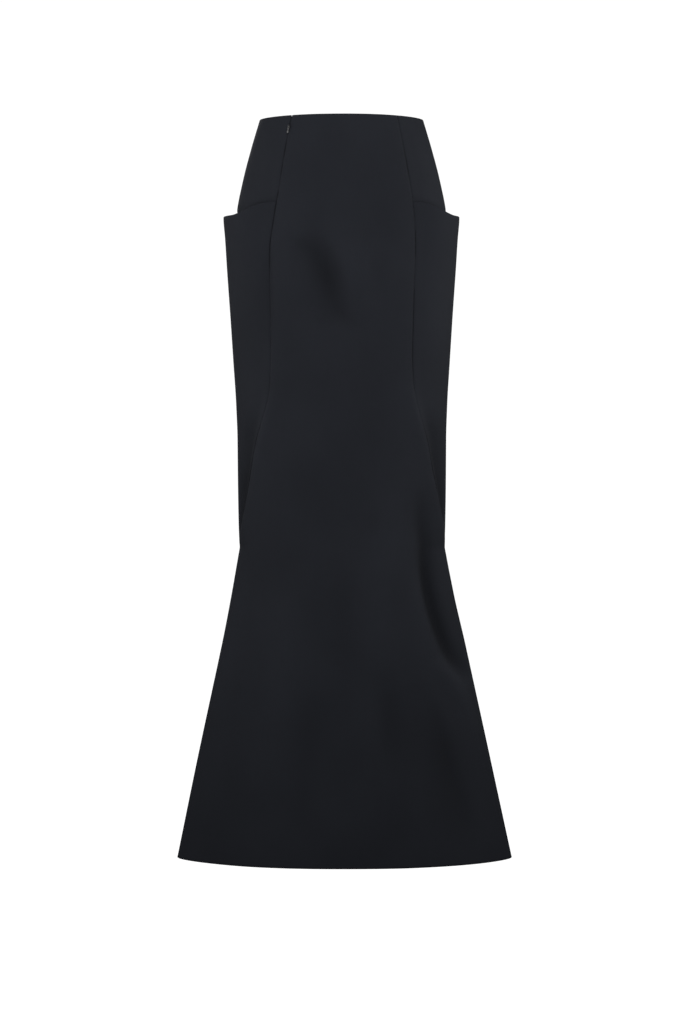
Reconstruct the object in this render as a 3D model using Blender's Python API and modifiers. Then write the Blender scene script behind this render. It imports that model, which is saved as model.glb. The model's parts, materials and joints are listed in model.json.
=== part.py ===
"""Long column skirt with side pockets that stand away from the hips, and a flared hem.

Run it with: blender --background --python part.py
Units are metres, +Z is up and the front faces -Y. The origin is the middle of the waist
ring, level with the top edge.

A place on the skirt is given by three values:
    drop   how far it is below the waist edge
    angle  how far round the body it is, in radians from centre front towards +X
    lift   how far out it is from the skirt's own surface
"""

import math
from collections import namedtuple

import bmesh
import bpy
from mathutils import Matrix, Vector

CLOTH = 0.0015  # thickness of every cloth wall
SEAM_GAP = 0.0003  # between pieces that are sewn edge to edge
LAYER_GAP = 0.0005  # between layers that lie on each other
ZIP_LAYER_GAP = 0.0009  # between the zip and the cloth that it is sewn behind

TIP_DROP = 0.625  # where a side panel runs out to its point
HEM_DROP = 1.082
HEM_RISE = 0.005  # how much higher the hem is at the side seams
WAIST_DIP = 0.0015  # how much lower the waist edge is at the sides
ROW_HEIGHT = 0.025
BODY_COLUMNS = 22
SIDE_COLUMNS = 16

Section = namedtuple("Section", "drop half_width lean front back corner flatness")
# lean is how far the section is shifted towards +X. corner is 1 where the outline rounds
# the side and 2 where it comes to an edge there. flatness above 2 flattens the middle of
# the front and back.
COLUMN = [
    Section(0.000, 0.1190, 0.0000, 0.088, 0.090, 1.00, 2.15),
    Section(0.045, 0.1323, 0.0000, 0.096, 0.101, 1.00, 2.15),
    Section(0.090, 0.1439, 0.0000, 0.103, 0.112, 1.00, 2.15),
    Section(0.137, 0.1530, 0.0000, 0.109, 0.121, 1.00, 2.15),
    Section(0.170, 0.1558, 0.0000, 0.111, 0.126, 1.00, 2.15),
    Section(0.230, 0.1572, 0.0000, 0.112, 0.130, 1.00, 2.15),
    Section(0.300, 0.1561, 0.0001, 0.112, 0.129, 1.00, 2.15),
    Section(0.350, 0.1547, 0.0002, 0.111, 0.126, 1.00, 2.15),
    Section(0.417, 0.1527, 0.0004, 0.110, 0.122, 1.00, 2.15),
    Section(0.475, 0.1523, 0.0006, 0.110, 0.120, 1.03, 2.15),
    Section(0.534, 0.1518, 0.0007, 0.110, 0.119, 1.08, 2.15),
    Section(0.590, 0.1509, 0.0008, 0.110, 0.119, 1.13, 2.15),
    Section(0.625, 0.1496, 0.0009, 0.111, 0.120, 1.20, 2.15),
    Section(0.700, 0.1640, 0.0020, 0.115, 0.125, 1.40, 2.18),
    Section(0.770, 0.1790, 0.0033, 0.120, 0.131, 1.57, 2.22),
    Section(0.920, 0.2116, 0.0036, 0.130, 0.144, 1.80, 2.30),
    Section(1.082, 0.2458, 0.0046, 0.142, 0.160, 1.92, 2.40),
]

Seam = namedtuple("Seam", "drop degrees turn")
# The four long seams lie at this angle from centre front or centre back. The skirt is
# turned a little on the body at the waist.
SEAMS = [
    Seam(0.000, 40.0, 2.6),
    Seam(0.100, 40.2, 2.6),
    Seam(0.150, 41.2, 2.0),
    Seam(0.195, 42.2, 0.8),
    Seam(0.250, 41.7, 0.0),
    Seam(0.330, 41.3, 0.0),
    Seam(0.385, 42.4, 0.0),
    Seam(0.412, 44.2, 0.0),
    Seam(0.440, 48.4, 0.0),
    Seam(0.470, 53.7, 0.0),
    Seam(0.512, 59.3, 0.0),
    Seam(0.541, 64.0, 0.0),
    Seam(0.585, 73.7, 0.0),
    Seam(0.625, 90.0, 0.0),
]

Pocket = namedtuple("Pocket", "drop stand_off recess")
# stand_off is how far a side panel stands away at the side, and recess how far it sinks
# behind the flaring front and back edges.
POCKET = [
    Pocket(0.125, 0.0200, 0.000),
    Pocket(0.143, 0.0186, 0.000),
    Pocket(0.170, 0.0145, 0.000),
    Pocket(0.198, 0.0117, 0.000),
    Pocket(0.242, 0.0084, 0.000),
    Pocket(0.300, 0.0054, 0.000),
    Pocket(0.359, 0.0033, 0.000),
    Pocket(0.417, 0.0014, 0.000),
    Pocket(0.470, 0.0000, 0.006),
    Pocket(0.540, 0.0000, 0.008),
    Pocket(0.600, 0.0000, 0.004),
    Pocket(0.625, 0.0000, 0.000),
]
POCKET_EDGE_SIDE = 0.1431  # drop of the pocket's mouth at the side
POCKET_EDGE_SEAM = 0.1264  # and where it meets the long seams
POCKET_FLOOR = 0.400
POCKET_SPREAD = 2.5  # how squarely the mouth bulges between the seams
RECESS_REACH = 0.012
RECESS_SPREAD = 0.5  # it grows from nothing at the side to its full depth over this share
TUCK_HEIGHT = 0.012  # the yoke turns in behind the pocket over this height
PANEL_TIP = 0.623

Fold = namedtuple("Fold", "face start middle end low high depth")
# Soft folds. Each runs down through three points, given as (drop, x) on its face. low and
# high are its widths towards -X and +X. A trough has a depth above zero, and a ridge one
# below zero.
FOLDS = [
    Fold("front", (0.176, -0.056), (0.236, -0.0215), (0.316, -0.007), 0.021, 0.017, 0.0062),
    Fold("front", (0.540, 0.112), (0.725, 0.136), (0.820, 0.188), 0.012, 0.012, 0.0105),
    Fold("front", (0.545, 0.080), (0.690, 0.100), (0.800, 0.140), 0.036, 0.020, -0.0024),
    Fold("front", (0.790, 0.126), (0.868, 0.179), (1.070, 0.221), 0.014, 0.013, -0.0060),
    Fold("front", (0.812, 0.104), (0.930, 0.150), (1.084, 0.190), 0.070, 0.014, 0.0050),
    Fold("front", (0.630, -0.003), (0.740, 0.002), (0.900, 0.010), 0.026, 0.022, 0.0022),
    Fold("front", (0.800, 0.062), (0.880, 0.064), (0.960, 0.070), 0.016, 0.018, 0.0028),
    Fold("front", (0.650, -0.138), (0.790, -0.172), (0.980, -0.212), 0.014, 0.016, -0.0020),
    Fold("back", (0.225, 0.062), (0.285, 0.020), (0.360, -0.012), 0.022, 0.016, 0.0052),
    Fold("back", (0.560, -0.108), (0.700, -0.124), (0.830, -0.172), 0.013, 0.016, 0.0074),
    Fold("back", (0.800, -0.148), (0.890, -0.186), (1.040, -0.220), 0.013, 0.017, -0.0036),
    Fold("back", (0.600, 0.108), (0.720, 0.120), (0.820, 0.152), 0.017, 0.013, 0.0052),
    Fold("back", (0.700, 0.012), (0.830, 0.006), (0.990, -0.004), 0.026, 0.022, 0.0045),
]
FOLD_STEPS = 16
FOLD_FADE = 0.30  # a fold dies out where the cosine of the angle falls under this

KINK_SLOPE = 0.229  # how much more the outline slopes below the tips than above them
KINK_REACH = 0.060  # away from the sides, the kink is rounded over this height
KINK_FADE = 0.84  # and out to this share of the half width

ZIP_TOP = 0.0230  # the closed teeth start here
ZIP_END = 0.160
ZIP_MOUTH = 0.0018  # width of the opening above the slider
ZIP_MOUTH_FULL = 0.0200  # the opening keeps its width down to here
ZIP_MOUTH_SHUT = 0.0285
TAPE_TOP = 0.008
TAPE_INNER = 0.0036
TAPE_OUTER = 0.0125
TAPE_THICKNESS = 0.0007
COIL_HALF_WIDTH = 0.0032
COIL_THICKNESS = 0.0016

SLIDER_DROP = 0.0170
SLIDER_WIDTH = 0.0064
SLIDER_LENGTH = 0.0084
SLIDER_THICKNESS = 0.0022
BRIDGE_WIDTH = 0.0012
BRIDGE_HALF_LENGTH = 0.0026
BRIDGE_TOP = 0.00245
BRIDGE_BAR = 0.0008
PULL_THICKNESS = 0.0009
PULL_LENGTH = 0.0102
PULL_PIVOT = 0.0010  # height of the pull's crossbar over the cloth
PULL_EYE_HALF_WIDTH = 0.0009
PULL_EYE_END = 0.0033
PULL_ARM = 0.0004
PULL_BULB = 0.0011
PULL_NECK = 0.0006

WIRE = 0.00035  # radius of the hook's and the eye's wire
HOOK_DROP = 0.0050
HOOK_REACH = 0.0075
HOOK_DEPTH = 0.0034
HOOK_RADIUS = 0.00095

Material = namedtuple("Material", "colour roughness metallic")
MATERIALS = {
    "suiting": Material((0.013, 0.014, 0.018), 0.85, 0.0),
    "zip_tape": Material((0.010, 0.010, 0.012), 0.90, 0.0),
    "zip_coil": Material((0.012, 0.012, 0.014), 0.45, 0.0),
    "lacquer": Material((0.016, 0.016, 0.018), 0.40, 0.3),
    "nickel": Material((0.24, 0.24, 0.24), 0.38, 1.0),
}


def curve_through(table, column):
    """A function of the drop that runs smoothly through one column of a table."""
    drops = [row.drop for row in table]
    values = [getattr(row, column) for row in table]
    count = len(drops)
    steps = [drops[i + 1] - drops[i] for i in range(count - 1)]
    rises = [(values[i + 1] - values[i]) / steps[i] for i in range(count - 1)]
    slopes = [rises[0]]
    for before, after in zip(rises, rises[1:]):
        same_way = before * after > 0
        slopes.append(2 * before * after / (before + after) if same_way else 0.0)
    slopes.append(rises[-1])

    def value(drop):
        drop = min(max(drop, drops[0]), drops[-1])
        i = max(k for k in range(count - 1) if drops[k] <= drop)
        step = steps[i]
        t = (drop - drops[i]) / step
        start = (1 + 2 * t) * (1 - t) ** 2 * values[i] + t * (1 - t) ** 2 * step * slopes[i]
        end = t * t * (3 - 2 * t) * values[i + 1] - t * t * (1 - t) * step * slopes[i + 1]
        return start + end

    return value


column_half_width = curve_through([row for row in COLUMN if row.drop <= TIP_DROP], "half_width")
flare_half_width = curve_through([row for row in COLUMN if row.drop >= TIP_DROP], "half_width")
lean_of = curve_through(COLUMN, "lean")
front_depth = curve_through(COLUMN, "front")
back_depth = curve_through(COLUMN, "back")
corner_of = curve_through(COLUMN, "corner")
flatness_of = curve_through(COLUMN, "flatness")
seam_degrees = curve_through(SEAMS, "degrees")
turn_degrees = curve_through(SEAMS, "turn")
stand_off = curve_through(POCKET, "stand_off")
recess = curve_through(POCKET, "recess")


def smooth_step(low, high, value):
    t = min(max((value - low) / (high - low), 0.0), 1.0)
    return t * t * (3 - 2 * t)


def half_width(drop):
    """Half the skirt's width at a drop. The outline has a kink at the side panels' tips."""
    return column_half_width(drop) if drop <= TIP_DROP else flare_half_width(drop)


def column_point(drop, angle):
    """A point of the smooth skirt, without its folds."""
    side = math.sin(angle)
    near = max(0.0, 1 - abs(drop - TIP_DROP) / KINK_REACH)
    inner = 1 - smooth_step(KINK_FADE, 1.0, abs(side))
    eased = half_width(drop) + KINK_SLOPE * KINK_REACH / 4 * near**2 * inner
    depth = -front_depth(drop) if math.cos(angle) > 0 else back_depth(drop)
    fullness = max(0.0, 1 - abs(side) ** flatness_of(drop))
    y = depth * fullness ** (corner_of(drop) / 2)
    return Vector((lean_of(drop) + eased * side, y, -drop))


def outward(drop, angle):
    """The level direction that points out of the skirt."""
    step = math.radians(2)
    along = column_point(drop, angle + step) - column_point(drop, angle - step)
    return along.cross(Vector((0, 0, 1))).normalized()


def fold_points(fold):
    """Points along a fold, on the curve through its start, middle and end."""
    start, middle, end = (Vector(p) for p in (fold.start, fold.middle, fold.end))
    control = 2 * middle - (start + end) / 2
    times = [i / FOLD_STEPS for i in range(FOLD_STEPS + 1)]
    return [(1 - t) ** 2 * start + 2 * t * (1 - t) * control + t * t * end for t in times]


FOLD_LINES = [(fold, fold_points(fold)) for fold in FOLDS]


def fold_height(drop, angle):
    """How far the folds move the cloth out at a place; troughs count below zero."""
    facing = math.cos(angle)
    face = "front" if facing > 0 else "back"
    here = Vector((drop, half_width(drop) * math.sin(angle)))
    height = 0.0
    for fold, points in FOLD_LINES:
        if fold.face != face:
            continue
        away, nearest = min(((here - p).length, i) for i, p in enumerate(points))
        gap = here - points[nearest]
        along = points[min(nearest + 1, FOLD_STEPS)] - points[max(nearest - 1, 0)]
        width = fold.high if gap.x * along.y < gap.y * along.x else fold.low
        strength = math.sin(math.pi * (nearest + 0.5) / (FOLD_STEPS + 1))
        height -= fold.depth * strength * math.exp(-((away / width) ** 2))
    return height * smooth_step(0.0, FOLD_FADE, abs(facing))


def cloth_point(drop, angle, lift, direction=None):
    """A point at a lift from the folded skirt, moved along the direction given."""
    away = outward(drop, angle if direction is None else direction)
    return column_point(drop, angle) + away * (lift + fold_height(drop, angle))


def seam_angle(drop):
    """The angle of a long seam from centre front or back; at the side below the tips."""
    return math.radians(seam_degrees(drop)) if drop < TIP_DROP else math.pi / 2


def turn_angle(drop):
    return math.radians(turn_degrees(drop))


def gap_angle(drop, angle, gap):
    """The angle that sets a panel's edge back from its seam by half a gap."""
    if drop >= TIP_DROP:
        depth = min(front_depth(drop), back_depth(drop))
        fullness = (gap / 2 / depth) ** (2 / corner_of(drop))
        return math.sqrt(2 * fullness / flatness_of(drop))
    step = math.radians(0.5)
    along = column_point(drop, angle + step) - column_point(drop, angle - step)
    return gap / 2 / (along.length / (2 * step))


def zip_gap(drop):
    """The width of the zip's seam: open above the slider, shut below it."""
    shut = smooth_step(ZIP_MOUTH_FULL, ZIP_MOUTH_SHUT, drop)
    return ZIP_MOUTH + (SEAM_GAP - ZIP_MOUTH) * shut


def zip_angle(drop):
    """The zip is in the front seam on the -X side."""
    return turn_angle(drop) - seam_angle(drop)


def loft_wall(name, outer, inner, material):
    """A closed wall through rows of outer and inner points, each row in order of angle.

    Each row is one ring: along the outer points and back along the inner ones. The rings
    are lofted, and the first and last are closed with a band. Solidify can't make it,
    because neighbouring panels must share the direction of the rim at their seam.
    """
    mesh = bpy.data.meshes.new(name)
    shape = bmesh.new()
    rings = [[shape.verts.new(p) for p in out + back[::-1]] for out, back in zip(outer, inner)]
    count = len(rings[0])
    for upper, lower in zip(rings, rings[1:]):
        for k in range(count):
            n = (k + 1) % count
            shape.faces.new((upper[k], lower[k], lower[n], upper[n]))
    for k in range(count // 2 - 1):
        top, bottom, opposite = rings[0], rings[-1], count - 1 - k
        shape.faces.new((top[k], top[k + 1], top[opposite - 1], top[opposite]))
        shape.faces.new((bottom[k + 1], bottom[k], bottom[opposite], bottom[opposite - 1]))
    shape.to_mesh(mesh)
    shape.free()
    mesh.shade_smooth()
    mesh.set_sharp_from_angle(angle=math.radians(40))
    return add_object(name, mesh, material)


def add_object(name, data, material):
    thing = bpy.data.objects.new(name, data)
    data.materials.append(material_named(material))
    bpy.data.collections["column_skirt"].objects.link(thing)
    return thing


def material_named(name):
    if name in bpy.data.materials:
        return bpy.data.materials[name]
    looks = MATERIALS[name]
    material = bpy.data.materials.new(name)
    material.use_nodes = True
    shader = material.node_tree.nodes["Principled BSDF"]
    shader.inputs["Base Color"].default_value = (*looks.colour, 1)
    shader.inputs["Roughness"].default_value = looks.roughness
    shader.inputs["Metallic"].default_value = looks.metallic
    return material


def even_rows(start, end, height):
    count = max(1, round((end - start) / height))
    return [start + (end - start) * i / count for i in range(count + 1)]


def column_rows():
    """The drops at which the panels have points below the waist and above the tips."""
    return [ZIP_MOUTH_FULL] + even_rows(ZIP_MOUTH_SHUT, TIP_DROP, ROW_HEIGHT)


def flare_rows():
    return even_rows(TIP_DROP, HEM_DROP, ROW_HEIGHT)[1:]


def flare_drop(row, place):
    """The hem curves up to the side seams, and the rows above it less and less."""
    return row - HEM_RISE * smooth_step(TIP_DROP, HEM_DROP, row) * abs(place) ** 2.6


def waist_drop(angle):
    return WAIST_DIP * math.sin(angle) ** 2


def shares(count):
    """Places across a panel, from -1 at one edge to 1 at the other."""
    return [2 * k / count - 1 for k in range(count + 1)]


def panel_row(places, drop_at, edges, gaps, lift_at):
    """The outer and inner points of one row across a panel.

    edges gives the two seam angles at a drop, gaps the two widths left open there.
    """
    outer, inner = [], []
    for place in places:
        drop = drop_at(place)
        first, last = edges(drop)
        low = first + gap_angle(drop, first, gaps[0](drop))
        high = last - gap_angle(drop, last, gaps[1](drop))
        angle = low + (high - low) * (place + 1) / 2
        direction = {places[0]: first, places[-1]: last}.get(place, angle)
        lift = lift_at(drop, place)
        outer.append(cloth_point(drop, angle, lift, direction))
        inner.append(cloth_point(drop, angle, lift - CLOTH, direction))
    return outer, inner


def plain_gap(_drop):
    return SEAM_GAP


def make_body_panel(name, middle, columns, gaps):
    """The front or the back: one panel from waist to hem between the long seams."""

    def edges(drop):
        half, turn = seam_angle(drop), turn_angle(drop)
        return middle - half + turn, middle + half + turn

    places = shares(columns)
    rows = [lambda place: waist_drop(place * seam_angle(0))]
    rows += [lambda _place, row=row: row for row in column_rows()]
    rows += [lambda place, row=row: flare_drop(row, place) for row in flare_rows()]
    made = [panel_row(places, row, edges, gaps, lambda _drop, _place: 0.0) for row in rows]
    return loft_wall(name, [out for out, _ in made], [back for _, back in made], "suiting")


def side_edges(side):
    """The seam angles of the panels on the +X side (1) or the -X side (-1)."""

    def edges(drop):
        half, turn = seam_angle(drop), turn_angle(drop)
        near, far = side * half + turn, side * (math.pi - half) + turn
        return min(near, far), max(near, far)

    return edges


def pocket_edge(place):
    """The drop of the pocket's mouth across a side panel."""
    rise = POCKET_EDGE_SIDE - POCKET_EDGE_SEAM
    return POCKET_EDGE_SIDE - rise * smooth_step(0.35, 0.97, abs(place))


def pocket_lift(drop, place):
    """How far a side panel stands out: full at the side and nothing at the seams."""
    bulge = stand_off(drop) * (1 - abs(place) ** POCKET_SPREAD)
    first, last = side_edges(1)(drop)
    width = (column_point(drop, first) - column_point(drop, last)).length / 2
    from_seam = width * (1 - abs(place)) / RECESS_REACH
    sunk = recess(drop) * from_seam * math.exp(1 - from_seam) * (1 - abs(place) ** 6)
    return bulge - sunk * smooth_step(0.0, RECESS_SPREAD, abs(place))


def make_side_panel(name, side, columns):
    """The outer side panel: the pocket's outside above, running down to a point."""
    places = shares(columns)
    below = [row for row in column_rows() if row > POCKET_EDGE_SIDE]
    rows = [pocket_edge] + [lambda _place, row=row: row for row in below[:-1]]
    rows.append(lambda _place: PANEL_TIP)
    gaps = (plain_gap, plain_gap)
    made = [panel_row(places, row, side_edges(side), gaps, pocket_lift) for row in rows]
    return loft_wall(name, [out for out, _ in made], [back for _, back in made], "suiting")


def yoke_lift(drop, place):
    """The yoke lies flush with the front, then turns in behind the pocket."""
    edge = pocket_edge(place)
    return -(CLOTH + LAYER_GAP) * smooth_step(edge - TUCK_HEIGHT, edge, drop)


def yoke_rows():
    """The yoke's rows from the waist to the pocket's floor, as functions of the place."""
    above = [row for row in column_rows() if row < POCKET_EDGE_SEAM - TUCK_HEIGHT]
    below = [row for row in column_rows() if POCKET_EDGE_SIDE < row <= POCKET_FLOOR]
    quarter = math.pi / 2
    rows = [lambda place: waist_drop(quarter + place * (quarter - seam_angle(0)))]
    rows += [lambda _place, row=row: row for row in above]
    rows += [lambda place, up=up: pocket_edge(place) - up * TUCK_HEIGHT for up in (1, 0.5, 0)]
    return rows + [lambda _place, row=row: row for row in below]


def make_side_yoke(name, side, columns):
    """The hip yoke: seen above the pocket, and inside it down to its floor."""
    places = shares(columns)
    gaps = (plain_gap, zip_gap) if side < 0 else (plain_gap, plain_gap)
    edges = side_edges(side)
    made = [panel_row(places, row, edges, gaps, yoke_lift) for row in yoke_rows()]
    return loft_wall(name, [out for out, _ in made], [back for _, back in made], "suiting")


def make_zip_strip(name, near, far, top, thickness, material):
    """A strip inside the zip's seam, from near to far across it, measured along the cloth.

    It lies behind the yoke's edge, so it follows the yoke in behind the pocket.
    """
    drops = [row(1) for row in yoke_rows() if top < row(1) < ZIP_END]
    outer, inner = [], []
    for drop in [top] + drops + [ZIP_END]:
        seam = zip_angle(drop)
        depth = yoke_lift(drop, 1) - CLOTH - ZIP_LAYER_GAP
        across = [2 * gap_angle(drop, seam, reach) for reach in (near, (near + far) / 2, far)]
        outer.append([cloth_point(drop, seam + a, depth) for a in across])
        inner.append([cloth_point(drop, seam + a, depth - thickness) for a in across])
    return loft_wall(name, outer, inner, material)


def zip_frame(drop, lift=0.0):
    """The axes at the zip's seam: X across it towards +X, Y up along it, Z out of the cloth."""
    step = 0.004
    seam = zip_angle(drop)
    place = cloth_point(drop, seam, lift)
    above = cloth_point(drop - step, zip_angle(drop - step), lift)
    below = cloth_point(drop + step, zip_angle(drop + step), lift)
    up = (above - below).normalized()
    out = outward(drop, seam)
    out = (out - up * out.dot(up)).normalized()
    across = up.cross(out)
    frame = Matrix((across, up, out)).transposed().to_4x4()
    frame.translation = place
    return frame


def flat_plate(name, outlines, thickness):
    """A 2D curve through closed outlines, filled and extruded to a thickness."""
    curve = bpy.data.curves.new(name, "CURVE")
    curve.dimensions = "2D"
    curve.fill_mode = "BOTH"
    curve.extrude = thickness / 2
    for outline in outlines:
        spline = curve.splines.new("POLY")
        spline.points.add(len(outline) - 1)
        for point, (x, y) in zip(spline.points, outline):
            point.co = (x, y, 0, 1)
        spline.use_cyclic_u = True
    return curve


def arc(centre, radius, start, end, steps):
    """Points on a circle from one angle to another, in degrees."""
    turns = [math.radians(start + (end - start) * i / steps) for i in range(steps + 1)]
    return [(centre[0] + radius * math.cos(t), centre[1] + radius * math.sin(t)) for t in turns]


def as_mesh_object(name, curve, matrix, material):
    """The curve's solid as a mesh object, with its caps welded on."""
    guide = bpy.data.objects.new(name + "_guide", curve)
    bpy.context.scene.collection.objects.link(guide)
    bpy.context.view_layer.update()
    graph = bpy.context.evaluated_depsgraph_get()
    mesh = bpy.data.meshes.new_from_object(guide.evaluated_get(graph))
    bpy.data.objects.remove(guide)
    shape = bmesh.new()
    shape.from_mesh(mesh)
    bmesh.ops.remove_doubles(shape, verts=shape.verts, dist=1e-6)
    bmesh.ops.recalc_face_normals(shape, faces=shape.faces)
    shape.to_mesh(mesh)
    shape.free()
    mesh.materials.clear()
    mesh.name = name
    thing = add_object(name, mesh, material)
    thing.matrix_world = matrix
    return thing


def make_slider():
    """The slider: its body behind the cloth, with a bridge that stands out of the seam."""
    frame = zip_frame(SLIDER_DROP)
    back = -(CLOTH + ZIP_LAYER_GAP)
    mesh = bpy.data.meshes.new("zip_slider")
    shape = bmesh.new()
    size = Matrix.Diagonal((SLIDER_WIDTH, SLIDER_LENGTH, SLIDER_THICKNESS, 1))
    bmesh.ops.create_cube(shape, size=1, matrix=size)
    shape.to_mesh(mesh)
    shape.free()
    body = add_object("zip_slider", mesh, "lacquer")
    body.matrix_world = frame @ Matrix.Translation((0, 0, back - SLIDER_THICKNESS / 2))
    round_over = body.modifiers.new("rounded_edges", "BEVEL")
    round_over.width = 0.0005
    round_over.segments = 2

    end, top, root = BRIDGE_HALF_LENGTH, BRIDGE_TOP, back - SLIDER_THICKNESS / 2
    shoulder = 0.0009
    outline = [(end, root)] + arc((end - shoulder, top - shoulder), shoulder, 0, 90, 4)
    outline += arc((shoulder - end, top - shoulder), shoulder, 90, 180, 4) + [(-end, root)]
    hole_end, hole_top, fillet = end - BRIDGE_BAR, top - BRIDGE_BAR, 0.0004
    window = [(-hole_end, root)] + arc((fillet - hole_end, hole_top - fillet), fillet, 180, 90, 3)
    window += arc((hole_end - fillet, hole_top - fillet), fillet, 90, 0, 3) + [(hole_end, root)]
    curve = flat_plate("zip_bridge", [outline + window], BRIDGE_WIDTH)
    # The plate is drawn along the seam and out of the cloth, so it is stood on its edge.
    stand = Matrix(((0, 0, 1), (1, 0, 0), (0, 1, 0))).to_4x4()
    bridge = as_mesh_object("zip_bridge", curve, frame @ stand, "lacquer")
    bpy.data.collections["column_skirt"].objects.unlink(bridge)
    bpy.data.collections["cutters"].objects.link(bridge)
    bridge.hide_render = True
    bridge.display_type = "WIRE"
    join = body.modifiers.new("join_bridge", "BOOLEAN")
    join.operation = "UNION"
    join.object = bridge


def make_pull():
    """The pull: an eye round the slider's bridge and a drop-shaped tab below it."""
    bar = PULL_THICKNESS / 2
    eye, arm, end = PULL_EYE_HALF_WIDTH, PULL_ARM, PULL_EYE_END
    outer, corner = eye + arm, 0.0005
    bulb, neck = PULL_BULB, PULL_NECK
    bulb_centre = PULL_LENGTH - bulb
    outline = arc((outer - corner, bar - corner), corner, 0, 90, 3)
    outline += arc((corner - outer, bar - corner), corner, 90, 180, 3)
    outline += [(-outer, -end), (-neck, -end - 0.0014), (-bulb * 0.94, -bulb_centre + 0.0007)]
    outline += arc((0, -bulb_centre), bulb, 180, 360, 10)
    outline += [(bulb * 0.94, -bulb_centre + 0.0007), (neck, -end - 0.0014), (outer, -end)]
    fillet = 0.0004
    hole = [(eye, -bar), (-eye, -bar)]
    hole += arc((fillet - eye, fillet - end), fillet, 180, 270, 3)
    hole += arc((eye - fillet, fillet - end), fillet, 270, 360, 3)
    curve = flat_plate("zip_pull", [outline, hole], PULL_THICKNESS)
    frame = zip_frame(SLIDER_DROP) @ Matrix.Translation((0, 0, PULL_PIVOT))
    as_mesh_object("zip_pull", curve, frame, "nickel")


def wire(name, points, matrix):
    """A round wire through points, with filled ends."""
    curve = bpy.data.curves.new(name, "CURVE")
    curve.dimensions = "3D"
    curve.bevel_depth = WIRE
    curve.bevel_resolution = 2
    curve.use_fill_caps = True
    spline = curve.splines.new("POLY")
    spline.points.add(len(points) - 1)
    for point, place in zip(spline.points, points):
        point.co = (*place, 1)
    return as_mesh_object(name, curve, matrix, "nickel")


def make_hook_and_eye():
    """A wire hook on the front's inside, its nose round the bar of an eye on the yoke."""
    frame = zip_frame(HOOK_DROP)
    bar_height = HOOK_RADIUS - HOOK_DEPTH
    bar_x = 0.0002
    bend = arc((bar_x, bar_height), HOOK_RADIUS, 270, 90, 8)
    shank = [(HOOK_REACH - i * (HOOK_REACH - bar_x) / 4, -HOOK_DEPTH) for i in range(4)]
    wire("waist_hook", [(x, 0, z) for x, z in shank + bend], frame)

    half, corner = 0.0016, 0.0007
    loop = [(-HOOK_REACH, half), (-HOOK_REACH / 2, half)]
    loop += arc((bar_x - corner, half - corner), corner, 90, 0, 4)
    loop += arc((bar_x - corner, corner - half), corner, 0, -90, 4)
    loop += [(-HOOK_REACH / 2, -half), (-HOOK_REACH, -half)]
    wire("waist_eye", [(x, y, bar_height) for x, y in loop], frame)


def clear_scene():
    for thing in list(bpy.data.objects):
        bpy.data.objects.remove(thing)
    for name in ("column_skirt", "cutters"):
        collection = bpy.data.collections.new(name)
        bpy.context.scene.collection.children.link(collection)


def main():
    clear_scene()
    make_body_panel("front_panel", 0.0, BODY_COLUMNS, (zip_gap, plain_gap))
    make_body_panel("back_panel", math.pi, BODY_COLUMNS, (plain_gap, plain_gap))
    for side, word in ((1, "left"), (-1, "right")):
        make_side_yoke("side_yoke_" + word, side, SIDE_COLUMNS)
        make_side_panel("side_panel_" + word, side, SIDE_COLUMNS)
    make_zip_strip("zip_tape_front", TAPE_INNER, TAPE_OUTER, TAPE_TOP, TAPE_THICKNESS, "zip_tape")
    make_zip_strip("zip_tape_side", -TAPE_OUTER, -TAPE_INNER, TAPE_TOP, TAPE_THICKNESS, "zip_tape")
    make_zip_strip(
        "zip_coil", -COIL_HALF_WIDTH, COIL_HALF_WIDTH, ZIP_TOP, COIL_THICKNESS, "zip_coil"
    )
    make_slider()
    make_pull()
    make_hook_and_eye()


main()
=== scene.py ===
"""The looks of a long column skirt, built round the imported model.

The panels are thin cloth, folded in at their seams, openings and hem, with the creases that
the cloth takes when it is worn. The zip, its slider and pull, and the hook and eye are small
pieces of their own. Units are metres, +Z is up and the front faces -Y.

A place on the skirt is given by three values:
    drop   how far it is below the waist edge
    angle  how far round the body it is, in radians from centre front towards +X
    lift   how far out it is from the skirt's own surface
"""

import json
import math
from collections import namedtuple

import bmesh
import bpy
import numpy as np
from bpy.props import FloatProperty, FloatVectorProperty, PointerProperty
from mathutils import Matrix, Vector


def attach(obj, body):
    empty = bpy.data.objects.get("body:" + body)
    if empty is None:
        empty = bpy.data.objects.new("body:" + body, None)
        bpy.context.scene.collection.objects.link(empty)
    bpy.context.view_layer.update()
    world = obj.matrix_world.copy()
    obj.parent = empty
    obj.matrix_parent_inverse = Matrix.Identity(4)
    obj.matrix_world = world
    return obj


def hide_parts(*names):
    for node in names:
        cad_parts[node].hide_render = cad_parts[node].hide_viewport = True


bl_info = {
    "name": "Column skirt",
    "version": (1, 0, 0),
    "blender": (4, 5, 0),
    "location": "View3D > Sidebar > Skirt",
    "description": "Builds the cloth, zip and stage of a long column skirt",
    "category": "Mesh",
}

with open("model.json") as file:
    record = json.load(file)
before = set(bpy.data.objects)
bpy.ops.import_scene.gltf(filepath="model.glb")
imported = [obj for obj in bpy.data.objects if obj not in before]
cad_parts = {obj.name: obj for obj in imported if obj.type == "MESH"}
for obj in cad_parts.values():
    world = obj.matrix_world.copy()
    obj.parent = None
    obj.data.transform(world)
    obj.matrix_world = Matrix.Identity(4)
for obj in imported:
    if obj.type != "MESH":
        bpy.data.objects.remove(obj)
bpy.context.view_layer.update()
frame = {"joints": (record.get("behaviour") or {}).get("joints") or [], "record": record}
RECORD_COLOURS = {row["slot"]: tuple(row["base_color"]) for row in frame["record"]["materials"]}

WALL = 0.0015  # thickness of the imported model's cloth walls
SEAM_GAP = 0.0001  # between panels that are sewn edge to edge
LAYER_GAP = 0.0005  # between layers that lie on each other
ZIP_LAYER_GAP = 0.0009  # between the zip and the cloth that it is sewn behind

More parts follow.
